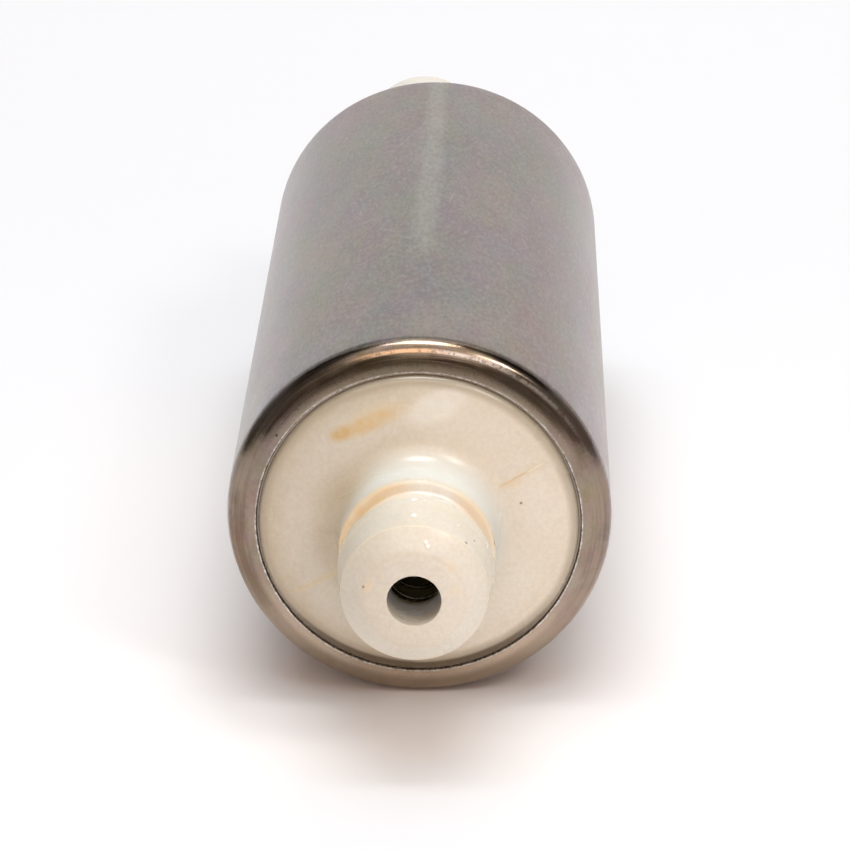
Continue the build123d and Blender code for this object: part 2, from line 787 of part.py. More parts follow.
# Brushes, their springs and leads, one set on each side of the shaft
brush_offset = (commutator_inner + commutator_radius) / 2
brush_radial = commutator_radius - commutator_inner - 2 * brush_inset
brush_front = commutator_face + contact_clearance
brush_rear = brush_front + brush_length
guide_wall_front = guide_rear - guide_wall
for side, side_name in ((-1, "left"), (1, "right")):
    with BuildPart() as brush:
        with BuildSketch(section(brush_rear)):
            with Locations((side * brush_offset, 0)):
                Rectangle(brush_radial, brush_tangential)
                Circle(lead_radius, mode=Mode.SUBTRACT)
        extrude(amount=brush_length / 3)
        with BuildSketch(section(brush_rear - brush_length / 3)):
            with Locations((side * brush_offset, 0)):
                Rectangle(brush_radial, brush_tangential)
        extrude(amount=2 * brush_length / 3)
    brush.part.label = f"brush_{side_name}"
    export_step(brush.part, f"parts/brush_{side_name}.step")

    with BuildPart() as brush_spring:
        with BuildLine() as brush_wire_path:
            Spline(*coil(
                side * brush_offset, 0, brush_coil_radius, brush_wire,
                brush_rear, guide_wall_front, brush_turns,
            ))
        with BuildSketch(Plane(brush_wire_path.line @ 0, z_dir=brush_wire_path.line % 0)):
            Circle(brush_wire)
        sweep(is_frenet=True)
    brush_spring.part.label = f"brush_spring_{side_name}"
    export_step(brush_spring.part, f"parts/brush_spring_{side_name}.step")

    with BuildPart() as brush_lead:
        with BuildSketch(section(guide_rear)):
            with Locations((side * brush_offset, 0)):
                Circle(lead_radius)
        extrude(amount=guide_rear - (brush_rear - brush_length / 3))
    brush_lead.part.label = f"brush_lead_{side_name}"
    export_step(brush_lead.part, f"parts/brush_lead_{side_name}.step")

# Brush holder: flange, brush guides, bearing boss and two windows for the fuel
guide_radial = brush_radial + 2 * guide_clearance
guide_tangential = brush_tangential + 2 * guide_clearance
window_outer = pack_radius - window_inset
window_radius = (window_inner + window_outer) / 2
window_path = CenterArc((0, 0), window_radius, 90 - window_arc / 2, window_arc)
with BuildPart() as brush_holder:
    with BuildSketch(section(rear_cover_front)):
        Circle(pack_radius)
        with PolarLocations(0, 2):
            SlotArc(window_path, window_outer - window_inner, mode=Mode.SUBTRACT)
    extrude(amount=holder_flange)
    with BuildSketch(section(guide_rear)):
        with Locations((-brush_offset, 0), (brush_offset, 0)):
            Rectangle(guide_radial + 2 * guide_wall, guide_tangential + 2 * guide_wall)
    extrude(amount=guide_length)
    with BuildSketch(section(rear_bearing_rear + bearing_boss_end)):
        Circle(bearing_radius + bearing_boss_wall)
    extrude(amount=rear_bearing_length + bearing_boss_end)
    with BuildSketch(section(rear_bearing_rear)):
        Circle(bearing_radius)
    extrude(amount=rear_bearing_length, mode=Mode.SUBTRACT)
    with BuildSketch(section(guide_wall_front)):
        with Locations((-brush_offset, 0), (brush_offset, 0)):
            Rectangle(guide_radial, guide_tangential)
    extrude(amount=guide_wall_front - guide_front, mode=Mode.SUBTRACT)
    with BuildSketch(section(guide_rear)):
        with Locations((-brush_offset, 0), (brush_offset, 0)):
            Circle(lead_radius)
    extrude(amount=guide_wall, mode=Mode.SUBTRACT)
brush_holder.part.label = "brush_holder"
export_step(brush_holder.part, "parts/brush_holder.step")

# Rear bearing: a second bush in the brush holder
with BuildPart() as rear_bearing:
    with BuildSketch(section(rear_bearing_rear)):
        Circle(bearing_radius)
        Circle(journal_radius + journal_clearance, mode=Mode.SUBTRACT)
    extrude(amount=rear_bearing_length)
    chamfer(ring_edges(rear_bearing, rear_bearing_front, bearing_radius), edge_round)
rear_bearing.part.label = "rear_bearing"
export_step(rear_bearing.part, "parts/rear_bearing.step")

# Flux ring: the steel tube between the pump pack and the brush holder
with BuildPart() as flux_ring:
    with BuildSketch(section(holder_front)):
        Circle(pack_radius)
        Circle(magnet_outer, mode=Mode.SUBTRACT)
    extrude(amount=holder_front - inlet_plate_rear)
flux_ring.part.label = "flux_ring"
export_step(flux_ring.part, "parts/flux_ring.step")

# Magnets above and below the armature
magnet_rear = stack_rear + magnet_overhang
magnet_length = stack_rear - stack_front + 2 * magnet_overhang
magnet_middle = (magnet_inner + magnet_outer) / 2
for magnet_angle, magnet_name in ((90, "magnet_upper"), (270, "magnet_lower")):
    magnet_path = CenterArc((0, 0), magnet_middle, magnet_angle - magnet_arc / 2, magnet_arc)
    with BuildPart() as magnet:
        with BuildSketch(section(magnet_rear)):
            SlotArc(magnet_path, magnet_thickness)
        extrude(amount=magnet_length)
    magnet.part.label = magnet_name
    export_step(magnet.part, f"parts/{magnet_name}.step")

# Magnet clips: sprung steel channels that hold the magnets apart on both sides
magnet_end = magnet_arc / 2 + degrees(asin(magnet_thickness / (magnet_inner + magnet_outer)))
clip_half_arc = 90 - magnet_end
with BuildPart() as magnet_clips:
    with BuildSketch(section(magnet_rear - clip_inset)):
        for clip_angle in (0, 180):
            with BuildLine():
                CenterArc((0, 0), magnet_outer, clip_angle - clip_half_arc, 2 * clip_half_arc)
                CenterArc(
                    (0, 0), magnet_outer - clip_thickness,
                    clip_angle - clip_half_arc, 2 * clip_half_arc,
                )
                for end_side in (-1, 1):
                    end_angle = (clip_angle + end_side * clip_half_arc) * pi / 180
                    Line(
                        (magnet_outer * cos(end_angle), magnet_outer * sin(end_angle)),
                        (
                            (magnet_outer - clip_thickness) * cos(end_angle),
                            (magnet_outer - clip_thickness) * sin(end_angle),
                        ),
                    )
            make_face()
    extrude(amount=magnet_length - 2 * clip_inset)
magnet_clips.part.label = "magnet_clips"
export_step(magnet_clips.part, "parts/magnet_clips.step")

# Rear cover: flange and boss like the front one, inlet spigot above, connector below
rear_boss_end = can_rear + boss_rise
inlet_base_end = can_rear + inlet_base_height
inlet_bead_front = inlet_base_end + inlet_neck_length
inlet_bead_end = inlet_bead_front + inlet_bead_length
inlet_end = inlet_bead_end + inlet_nose_length
connector_end = can_rear + connector_length
inlet_plane = Plane((inlet_x, 0, inlet_z), x_dir=(0, 1, 0), z_dir=(1, 0, 0))
inlet_axis = Axis((inlet_x, 0, inlet_z), (0, 1, 0))
with BuildPart() as rear_cover:
    with BuildSketch(Plane.YZ):
        add(turned([
            (rear_cavity, 0),
            (rear_cavity, cavity_radius),
            (rear_cover_front, cavity_radius),
            (rear_cover_front, pack_radius),
            (rear_groove_front, pack_radius),
            (rear_groove_front, seal_groove_radius),
            (rear_groove_rear, seal_groove_radius),
            (rear_groove_rear, pack_radius),
            (rear_cover_rear, pack_radius),
            (rear_cover_rear, boss_radius),
            (rear_boss_end, boss_radius),
            (rear_boss_end, 0),
        ]))
    revolve(axis=Axis.Y)
    fillet(ring_edges(rear_cover, rear_cover_rear, pack_radius), roll_inner_bend)
    fillet(ring_edges(rear_cover, rear_boss_end, boss_radius), boss_edge)
    with BuildSketch(inlet_plane):
        with BuildLine():
            Polyline(
                (rear_boss_end, 0),
                (rear_boss_end, inlet_base_radius),
                (inlet_base_end, inlet_base_radius),
                (inlet_base_end, inlet_neck_radius),
                (inlet_bead_front, inlet_neck_radius),
                (inlet_bead_front, inlet_bead_radius),
                (inlet_bead_end, inlet_bead_radius - inlet_bead_taper),
                (inlet_end, inlet_face_radius),
                (inlet_end, 0),
                close=True,
            )
        make_face()
    revolve(axis=inlet_axis)
    fillet(ring_edges(rear_cover, rear_boss_end, inlet_base_radius), spigot_root)
    fillet(ring_edges(rear_cover, inlet_base_end, inlet_base_radius), edge_round)
    fillet(ring_edges(rear_cover, inlet_bead_front, inlet_bead_radius), edge_round)
    fillet(ring_edges(rear_cover, inlet_end, inlet_face_radius), edge_round)
    with BuildSketch(section(connector_end)):
        with Locations((0, connector_z)):
            RectangleRounded(connector_width, connector_height, connector_corner)
    extrude(amount=connector_end - rear_boss_end)
    root_edges = []
    for edge in rear_cover.edges():
        reach = abs(edge.center().Z - connector_z)
        flat = edge.bounding_box().size.Y < 0.01 and abs(edge.center().Y - rear_boss_end) < 0.01
        if flat and reach < connector_height and abs(edge.center().X) < connector_width:
            root_edges.append(edge)
    fillet(root_edges, connector_root)
    with BuildSketch(section(connector_end)):
        with Locations((0, connector_z)):
            RectangleRounded(
                connector_width - 2 * connector_wall,
                connector_height - 2 * connector_wall,
                connector_corner / 2,
            )
    extrude(amount=connector_end - rear_boss_end, mode=Mode.SUBTRACT)
    with BuildSketch(section(inlet_end)):
        with Locations((inlet_x, inlet_z)):
            Circle(inlet_bore)
    extrude(amount=inlet_end - rear_cavity, mode=Mode.SUBTRACT)
    with BuildSketch(section(rear_boss_end)):
        with Locations((-terminal_pitch / 2, connector_z)):
            Rectangle(terminal_thickness, terminal_negative_width)
        with Locations((terminal_pitch / 2, connector_z)):
            Rectangle(terminal_thickness, terminal_positive_width)
    extrude(amount=rear_boss_end - rear_cavity, mode=Mode.SUBTRACT)
rear_cover.part.label = "rear_cover"
export_step(rear_cover.part, "parts/rear_cover.step")

# Terminals: a strap behind each brush guide, bent into the connector's blade
blade_end = connector_end - terminal_setback
for side, terminal_name, blade_width in (
    (-1, "terminal_negative", terminal_negative_width),
    (1, "terminal_positive", terminal_positive_width),
):
    strap_start = Vector(side * brush_offset, 0)
    strap_end = Vector(side * terminal_pitch / 2, connector_z)
    strap_angle = degrees(atan2(strap_end.Y - strap_start.Y, strap_end.X - strap_start.X))
    strap_middle = (strap_start + strap_end) * 0.5
    with BuildPart() as terminal:
        with BuildSketch(section(rear_cavity)):
            with Locations((strap_middle.X, strap_middle.Y)):
                SlotCenterToCenter(
                    (strap_end - strap_start).length, strap_width, rotation=strap_angle
                )
        extrude(amount=terminal_thickness)
        with BuildSketch(section(blade_end)):
            with Locations((side * terminal_pitch / 2, connector_z)):
                Rectangle(terminal_thickness, blade_width)
        extrude(amount=blade_end - rear_cavity + terminal_thickness)
        tip_edges = terminal.edges().filter_by(Axis.X).filter_by(
            lambda edge: abs(edge.center().Y - blade_end) < 0.01
        )
        chamfer(tip_edges, terminal_thickness)
    terminal.part.label = terminal_name
    export_step(terminal.part, f"parts/{terminal_name}.step")
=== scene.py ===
from math import atan2, ceil, cos, hypot, pi, radians, sin, tan

import bpy
from mathutils import Matrix, Vector, noise


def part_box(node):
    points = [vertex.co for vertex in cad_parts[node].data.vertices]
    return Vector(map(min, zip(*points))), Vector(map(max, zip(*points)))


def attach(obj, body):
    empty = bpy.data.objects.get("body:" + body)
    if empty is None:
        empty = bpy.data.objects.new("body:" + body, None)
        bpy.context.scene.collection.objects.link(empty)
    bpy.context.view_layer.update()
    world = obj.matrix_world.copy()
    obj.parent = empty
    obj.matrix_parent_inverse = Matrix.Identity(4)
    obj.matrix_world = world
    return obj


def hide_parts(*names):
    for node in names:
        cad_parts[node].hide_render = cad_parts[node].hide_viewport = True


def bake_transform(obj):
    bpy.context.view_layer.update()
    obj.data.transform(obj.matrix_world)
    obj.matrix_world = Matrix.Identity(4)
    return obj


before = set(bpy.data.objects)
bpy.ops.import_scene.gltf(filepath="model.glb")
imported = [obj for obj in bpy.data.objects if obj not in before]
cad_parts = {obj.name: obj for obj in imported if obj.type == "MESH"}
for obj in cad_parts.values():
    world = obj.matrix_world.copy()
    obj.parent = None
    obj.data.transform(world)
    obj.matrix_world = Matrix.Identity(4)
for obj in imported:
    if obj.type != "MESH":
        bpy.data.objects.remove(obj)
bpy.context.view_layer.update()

# Electric fuel pump on a white table, seen from its delivery end. All sizes are in metres.
# The pump's axis is Y, the delivery spigot points to -Y, and the origin is the can's middle.
MM = 0.001

# Can, from the frame's own box, with the rolled ends
can_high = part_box("can")[1]
can_half = can_high[1]
can_radius = can_high[0]
can_wall = 1.2 * MM
lip_width = 3.4 * MM
lip_radius = can_radius - lip_width
roll_bend = 2.0 * MM
roll_inner_bend = 1.2 * MM
roll_break = radians(30)
lip_tilt = radians(12)
lip_crown = (lip_width - roll_bend * (1 - sin(roll_break))) / (sin(roll_break) - sin(lip_tilt))
crown_depth = lip_crown * (cos(lip_tilt) - cos(roll_break))
burnished_length = 1.83 * MM
can_segment = 2.5 * MM

# Front cover, from the frame's box and the delivery spigot's stations
cover_low, cover_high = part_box("front_cover")
cover_rear = cover_high[1]
cover_radius = cover_high[0]
nose_face = cover_low[1]
boss_radius = lip_radius - 0.25 * MM
boss_face = -can_half - 0.5 * MM
# A step close to the lip keeps the seam between cover and can from being a black gap
seam_face = -can_half + 0.40 * MM
seam_radius = lip_radius - 0.07 * MM
cone_root = boss_face - 0.9 * MM
base_radius = 8.6 * MM
base_front = -can_half - 7.65 * MM
neck_radius = 7.3 * MM
bead_rear = base_front - 4.0 * MM
bead_rear_radius = 8.56 * MM
bead_front = bead_rear - 6.15 * MM
bead_front_radius = 7.93 * MM
nose_face_radius = 5.43 * MM
bore_radius = 2.9 * MM
bore_length = 5.9 * MM
chamber_radius = 3.7 * MM
seat_radius = 4.6 * MM
cavity_radius = 17.6 * MM
groove_radius = cover_radius - 1.5 * MM
flange_front = -can_half + can_wall
cavity_front = flange_front + 4.0 * MM
groove_front = flange_front + 2.4 * MM
groove_rear = groove_front + 2.4 * MM
cover_segment = 1.2 * MM

# Camera, by the photograph's view of the can's ends
camera_place = Vector((0.009219, -0.410358, 0.163854))
camera_pitch = radians(90 - 22.787)
camera_turn = radians(1.35)
camera_lens = 151.1
sensor_width = 36.0

# Fineness of the turned pieces
turn_steps = 288
corner_step = radians(12)
roll_steps = 10
sharp_angle = radians(50)


def rounded(corners):
    """Closed outline in (station, radius): each corner is given with its own rounding."""
    outline = []
    count = len(corners)
    for index in range(count):
        before = Vector(corners[index - 1][:2])
        here = Vector(corners[index][:2])
        after = Vector(corners[(index + 1) % count][:2])
        rounding = corners[index][2]
        if rounding == 0:
            outline.append(tuple(here))
            continue
        back = (before - here).normalized()
        ahead = (after - here).normalized()
        half_angle = back.angle(ahead) / 2
        reach = rounding / tan(half_angle)
        centre = here + (back + ahead).normalized() * rounding / sin(half_angle)
        start = here + back * reach - centre
        end = here + ahead * reach - centre
        sweep = atan2(start.x * end.y - start.y * end.x, start.dot(end))
        steps = max(2, ceil(abs(sweep) / corner_step))
        for step in range(steps + 1):
            spoke = Matrix.Rotation(sweep * step / steps, 2) @ start
            outline.append(tuple(centre + spoke))
    return outline


def subdivided(outline, longest):
    """The closed outline with extra points wherever a run is longer than the given length."""
    points = []
    for index, here in enumerate(outline):
        after = outline[(index + 1) % len(outline)]
        parts = max(1, ceil(hypot(after[0] - here[0], after[1] - here[1]) / longest))
        for part in range(parts):
            share = part / parts
            points.append((
                here[0] + (after[0] - here[0]) * share,
                here[1] + (after[1] - here[1]) * share,
            ))
    return points


def lathe(name, outline, body, material, waver=None):
    """A turned piece about the Y axis from its closed outline in (station, radius)."""
    verts = []
    faces = []
    rows = len(outline)
    for step in range(turn_steps):
        angle = 2 * pi * step / turn_steps
        for station, radius in outline:
            if waver:
                station, radius = waver(station, radius, angle)
            verts.append((radius * cos(angle), station, radius * sin(angle)))
    for step in range(turn_steps):
        after = (step + 1) % turn_steps
        for row in range(rows):
            below = (row + 1) % rows
            faces.append((
                step * rows + row, step * rows + below, after * rows + below, after * rows + row,
            ))
    mesh = bpy.data.meshes.new(name)
    mesh.from_pydata(verts, [], faces)
    mesh.validate()
    area = sum(
        a[0] * b[1] - b[0] * a[1] for a, b in zip(outline, outline[1:] + outline[:1])
    )
    if area > 0:
        mesh.flip_normals()
    piece = bpy.data.objects.new(name, mesh)
    bpy.context.collection.objects.link(piece)
    mesh.materials.append(material)
    mesh.shade_smooth()
    mesh.set_sharp_from_angle(angle=sharp_angle)
    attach(piece, body)
    return piece


# Node helpers
def make(tree, kind, settings=None, **sockets):
    """A shader node with its settings, and its sockets set to values or linked."""
    node = tree.nodes.new("ShaderNode" + kind)
    for name, value in (settings or {}).items():
        setattr(node, name, value)
    for name, value in sockets.items():
        join(tree, value, node.inputs[name.replace("_", " ")])
    return node


def join(tree, value, socket):
    """Links an output to a socket, or sets the socket to a plain value."""
    if isinstance(value, bpy.types.NodeSocket):
        tree.links.new(value, socket)
    else:
        socket.default_value = value


def calc(tree, operation, first, second=0.0):
    """Result of one mathematical operation on one or two values."""
    node = tree.nodes.new("ShaderNodeMath")
    node.operation = operation
    join(tree, first, node.inputs[0])
    join(tree, second, node.inputs[1])
    return node.outputs[0]


def times(tree, product, *factors):
    """Product of two or more values."""
    for factor in factors:
        product = calc(tree, "MULTIPLY", product, factor)
    return product


def fade(tree, value, start, end, low=0.0, high=1.0):
    """Smooth step of a value between two limits, in either direction."""
    if start > end:
        start, end, low, high = end, start, high, low
    node = make(
        tree, "MapRange", {"interpolation_type": "SMOOTHSTEP"},
        Value=value, From_Min=start, From_Max=end, To_Min=low, To_Max=high,
    )
    return node.outputs[0]


def blend(tree, factor, first, second, mode="MIX"):
    """The first colour with the second laid over it, as far as the factor says."""
    node = tree.nodes.new("ShaderNodeMix")
    node.data_type = "RGBA"
    node.blend_type = mode
    join(tree, factor, node.inputs[0])
    join(tree, first, node.inputs[6])
    join(tree, second, node.inputs[7])
    return node.outputs[2]


def between(tree, factor, first, second):
    """The plain number that lies between two others by a factor."""
    node = tree.nodes.new("ShaderNodeMix")
    join(tree, factor, node.inputs[0])
    join(tree, first, node.inputs[2])
    join(tree, second, node.inputs[3])
    return node.outputs[0]


def grain(tree, place, scale, detail=3.0, roughness=0.55, stretch=(1, 1, 1), distortion=0.0):
    """Noise of the given scale per metre, stretched along the axes."""
    mapping = make(tree, "Mapping", Vector=place, Scale=stretch)
    texture = make(
        tree, "TexNoise", Vector=mapping.outputs[0], Scale=scale, Detail=detail,
        Roughness=roughness, Distortion=distortion,
    )
    return texture.outputs["Fac"]


def colour(red, green, blue):
    """An opaque colour, as linear values."""
    return (red, green, blue, 1.0)


class Surface:
    """A material with the coordinates of the pump at hand: axial station, radius and X, Z."""

    def __init__(self, name):
        self.material = bpy.data.materials.new(name)
        self.material.use_nodes = True
        self.tree = self.material.node_tree
        self.tree.nodes.clear()
        self.place = make(self.tree, "TexCoord").outputs["Object"]
        split = make(self.tree, "SeparateXYZ", Vector=self.place)
        self.x, self.y, self.z = split.outputs
        x_squared = calc(self.tree, "POWER", self.x, 2.0)
        z_squared = calc(self.tree, "POWER", self.z, 2.0)
        self.radius = calc(self.tree, "SQRT", calc(self.tree, "ADD", x_squared, z_squared))

    def bumps(self, layers):
        """Chained bump nodes: each layer is a height, its depth in metres and its strength."""
        normal = None
        for height, depth, strength in layers:
            node = make(self.tree, "Bump", Height=height, Distance=depth, Strength=strength)
            if normal is not None:
                self.tree.links.new(normal, node.inputs["Normal"])
            normal = node.outputs[0]
        return normal

    def finish(self, **sockets):
        """The finished material, with the shader's sockets as given."""
        shader = make(self.tree, "BsdfPrincipled", **sockets)
        make(self.tree, "OutputMaterial", Surface=shader.outputs[0])
        return self.material


def spot(surface, x, z, half_length, half_width, angle, soft):
    """Soft oval mark on a face that looks along -Y, in mm and degrees: 1 inside, 0 outside."""
    tree = surface.tree
    turned = make(
        tree, "Mapping", {"vector_type": "TEXTURE"}, Vector=surface.place,
        Location=(x * MM, 0, z * MM), Rotation=(0, -radians(angle), 0),
        Scale=(half_length * MM, 1, half_width * MM),
    )
    flat = make(tree, "VectorMath", {"operation": "MULTIPLY"})
    tree.links.new(turned.outputs[0], flat.inputs[0])
    flat.inputs[1].default_value = (1, 0, 1)
    reach = make(tree, "VectorMath", {"operation": "LENGTH"})
    tree.links.new(flat.outputs[0], reach.inputs[0])
    return fade(tree, reach.outputs["Value"], 1.0, 1.0 - soft)


def fleck(surface, x, y, z, size):
    """Small round mark at one place on the surface, in mm: 1 inside, 0 outside."""
    tree = surface.tree
    apart = make(tree, "VectorMath", {"operation": "DISTANCE"})
    tree.links.new(surface.place, apart.inputs[0])
    apart.inputs[1].default_value = (x * MM, y * MM, z * MM)
    return fade(tree, apart.outputs["Value"], size * MM, 0.4 * size * MM)


def scratch(surface, x_start, y_start, x_end, y_end):
    """Hairline on the can's upper side between two places seen from above, in mm."""
    tree = surface.tree
    half_width = 0.07 * MM
    half_length = hypot(x_end - x_start, y_end - y_start) * MM / 2
    waver = times(tree, calc(tree, "SUBTRACT", grain(tree, surface.place, 500), 0.5), 0.6 * MM)
    shifted = make(tree, "CombineXYZ", X=waver, Y=waver)
    moved = make(tree, "VectorMath", {"operation": "ADD"})
    tree.links.new(surface.place, moved.inputs[0])
    tree.links.new(shifted.outputs[0], moved.inputs[1])
    turned = make(
        tree, "Mapping", {"vector_type": "TEXTURE"}, Vector=moved.outputs[0],
        Location=((x_start + x_end) * MM / 2, (y_start + y_end) * MM / 2, 0),
        Rotation=(0, 0, atan2(y_end - y_start, x_end - x_start)),
    )
    split = make(tree, "SeparateXYZ", Vector=turned.outputs[0])
    along = fade(tree, calc(tree, "ABSOLUTE", split.outputs[0]), half_length, 0.6 * half_length)
    across = fade(tree, calc(tree, "ABSOLUTE", split.outputs[1]), half_width, 0.2 * half_width)
    above = calc(tree, "GREATER_THAN", surface.z, 0.0)
    return times(tree, along, across, above)


# Marks, in millimetres and degrees
# Dark flecks on the front cover: X, Y, Z and size
flecks = (
    (5.46, -66.33, 5.76, 0.27), (6.29, -64.46, 5.14, 0.20), (-5.41, -68.53, 1.52, 0.21),
    (11.34, -50.07, 3.21, 0.23), (5.75, -66.2, 5.3, 0.16),
)

# Small wet spots on top of the bead and the nose, raised, glossy and painted near white as
# painted glints: X, Y, Z and size
drops_and_glints = (
    (-0.19, -61.14, 8.50, 0.52), (-0.10, -64.49, 8.13, 0.50), (1.25, -67.75, 6.37, 0.34),
    (1.47, -68.00, 6.02, 0.36), (0.9, -61.3, 8.45, 0.22), (1.5, -62.3, 8.20, 0.20),
)

# Faint yellow rings on the nose: radius, half width and strength
nose_rings = ((7.80, 0.13, 0.40), (5.45, 0.35, 0.20), (4.7, 0.10, 0.2))

# Smears on the nose: X, Z, half length, half width, turn, softness and strength
nose_smears = (
    (-4.9, 1.6, 1.3, 0.6, 70, 0.95, 0.5),
    (3.9, 4.0, 1.3, 0.9, -30, 0.95, 0.25),
    (4.2, 1.2, 1.2, 1.0, 60, 0.95, 0.2),
)

# Brown streak down from the face's upper edge, in the same order, with each oval's colour
face_streak = (
    (-4.2, 13.9, 5.0, 1.7, 17, 0.95, 0.60, (0.70, 0.58, 0.33)),
    (-5.6, 12.45, 5.2, 1.45, 24, 0.80, 0.92, (0.67, 0.47, 0.19)),
    (-8.5, 11.25, 2.1, 1.25, 20, 0.80, 0.85, (0.60, 0.39, 0.11)),
)

# Hairline scratches on top of the barrel: X and Y of each end
barrel_scratches = (
    (-4.8, 19.0, -0.7, 30.3), (-8.3, -2.4, -7.9, 1.9), (-5.9, -9.2, -2.9, -12.6),
    (-3.9, -12.3, -1.6, -15.2), (-4.0, -42.2, 1.1, -43.0), (1.8, -40.0, 6.1, -37.4),
    (0.5, -23.7, 0.9, -26.5), (-9.3, -26.5, -8.1, -22.0), (-7.6, -20.7, -5.6, -19.0),
    (12.2, -43.1, 13.7, -42.6), (5.2, 22.0, 6.6, 21.4), (2.4, -2.2, 3.2, 3.0),
)

# Where the crack in the bead's side lies along the axis, and how the knit line slants
crack_station = -56.1 * MM
knit_slant = radians(30)


# Materials
def can_barrel(s, cloud, mottle, fine, tints):
    """Paint of the can's matte barrel: mottled plating, paler on top near the front, painted
    shade on the right, scratched on top.
    """
    t = s.tree
    paint = blend(t, fade(t, mottle, 0.35, 0.65), colour(0.226, 0.187, 0.167),
                  colour(0.316, 0.265, 0.237))
    paint = blend(t, fade(t, cloud, 0.40, 0.62, 0, 0.75), paint, colour(0.320, 0.271, 0.248))
    # Paler on top near the front end, over the right half
    front_paler = times(
        t, fade(t, s.y, -30 * MM, -42 * MM), fade(t, s.z, 14 * MM, 20 * MM),
        fade(t, s.x, -3 * MM, 1 * MM, 0, 0.55),
    )
    paint = blend(t, front_paler, paint, colour(0.370, 0.305, 0.270))
    browned = times(t, fade(t, s.x, 1 * MM, 9 * MM), fade(t, cloud, 0.42, 0.60, 0, 0.45))
    paint = blend(t, browned, paint, colour(0.270, 0.203, 0.170))
    # Painted shade: the right side darker and warmer
    right_painted_shade = fade(t, s.x, 4 * MM, 14 * MM)
    paint = blend(t, right_painted_shade, paint, colour(0.955, 0.890, 0.870), "MULTIPLY")
    for tint, share in zip(tints, (0.075, 0.045, 0.025)):
        paint = blend(t, share, paint, tint, "LINEAR_LIGHT")
    paint = blend(t, fade(t, fine, 0.48, 0.72, 0, 0.65), paint, colour(0.410, 0.352, 0.323))
    paint = blend(t, fade(t, fine, 0.50, 0.30, 0, 0.50), paint, colour(0.170, 0.141, 0.130))

    # A paler line along the top, from the far end to the middle, slightly askew
    drift = times(t, calc(t, "SUBTRACT", mottle, 0.5), 3.0 * MM)
    askew = calc(t, "SUBTRACT", calc(t, "ADD", s.x, 0.13 * MM), times(t, s.y, 0.012))
    offset = calc(t, "ABSOLUTE", calc(t, "ADD", askew, drift))
    ragged = calc(t, "ADD", s.y, times(t, calc(t, "SUBTRACT", mottle, 0.5), 14 * MM))
    streak = times(
        t, fade(t, offset, 2.2 * MM, 0.3 * MM), fade(t, ragged, -23 * MM, -14 * MM),
        fade(t, s.z, 0, 10 * MM, 0, 0.68), fade(t, fine, 0.30, 0.62, 0.45, 1.0),
    )
    paint = blend(t, streak, paint, colour(0.450, 0.425, 0.372))
    for ends in barrel_scratches:
        paint = blend(t, times(t, scratch(s, *ends), 0.55), paint, colour(0.60, 0.54, 0.50))
    return paint


def can_roll(s, fine, ring_lines, upper, lined, tints):
    """Paint of the burnished roll: bronze-brown, with fine turned rings above the axis, paler
    towards the bottom, and a painted highlight ring on top.
    """
    t = s.tree
    patina = grain(t, s.place, 130, detail=5, roughness=0.65)
    paint = blend(t, fade(t, patina, 0.38, 0.62), colour(0.190, 0.137, 0.098),
                  colour(0.320, 0.248, 0.193))
    pale_lines = times(t, fade(t, ring_lines, 0.52, 0.68), lined)
    dark_lines = times(t, fade(t, ring_lines, 0.50, 0.34), lined)
    paint = blend(t, pale_lines, paint, colour(0.40, 0.31, 0.25))
    paint = blend(t, dark_lines, paint, colour(0.120, 0.080, 0.055))
    for tint in tints:
        paint = blend(t, 0.030, paint, tint, "LINEAR_LIGHT")
    # Paler towards the bottom
    paint = blend(t, fade(t, s.z, -6 * MM, -18 * MM, 0, 0.7), paint, colour(0.44, 0.350, 0.262))

    # Painted highlight: a bright coppery ring along the roll's outer curve above the axis, cut
    # off on the left and whiter towards the right
    crown_highlight = calc(t, "ABSOLUTE", calc(t, "SUBTRACT", s.radius, can_radius - 1.05 * MM))
    crown_highlight = times(
        t, fade(t, crown_highlight, 0.30 * MM, 0.05 * MM), fade(t, fine, 0.34, 0.56, 0.25, 1.0),
        fade(t, s.x, -9 * MM, -3 * MM), upper,
    )
    crown_highlight_colour = blend(t, fade(t, s.x, 0, 4 * MM), colour(0.82, 0.50, 0.30),
                        colour(0.74, 0.62, 0.55))
    return blend(t, crown_highlight, paint, crown_highlight_colour)


def can_lip(s, mottle, upper, tints):
    """Paint of the lip inside the roll: mottled, with a painted highlight near its inner edge
    above the axis, and paler towards the bottom.
    """
    t = s.tree
    paint = blend(t, fade(t, mottle, 0.35, 0.65), colour(0.280, 0.214, 0.162),
                  colour(0.345, 0.272, 0.215))
    for tint in tints:
        paint = blend(t, 0.035, paint, tint, "LINEAR_LIGHT")
    lit = times(t, fade(t, s.radius, lip_radius + 1.2 * MM, lip_radius + 0.3 * MM), upper, 0.7)
    paint = blend(t, lit, paint, colour(0.58, 0.48, 0.38))
    # Paler towards the bottom
    return blend(t, fade(t, s.z, -4 * MM, -18 * MM, 0, 0.8), paint, colour(0.62, 0.50, 0.39))


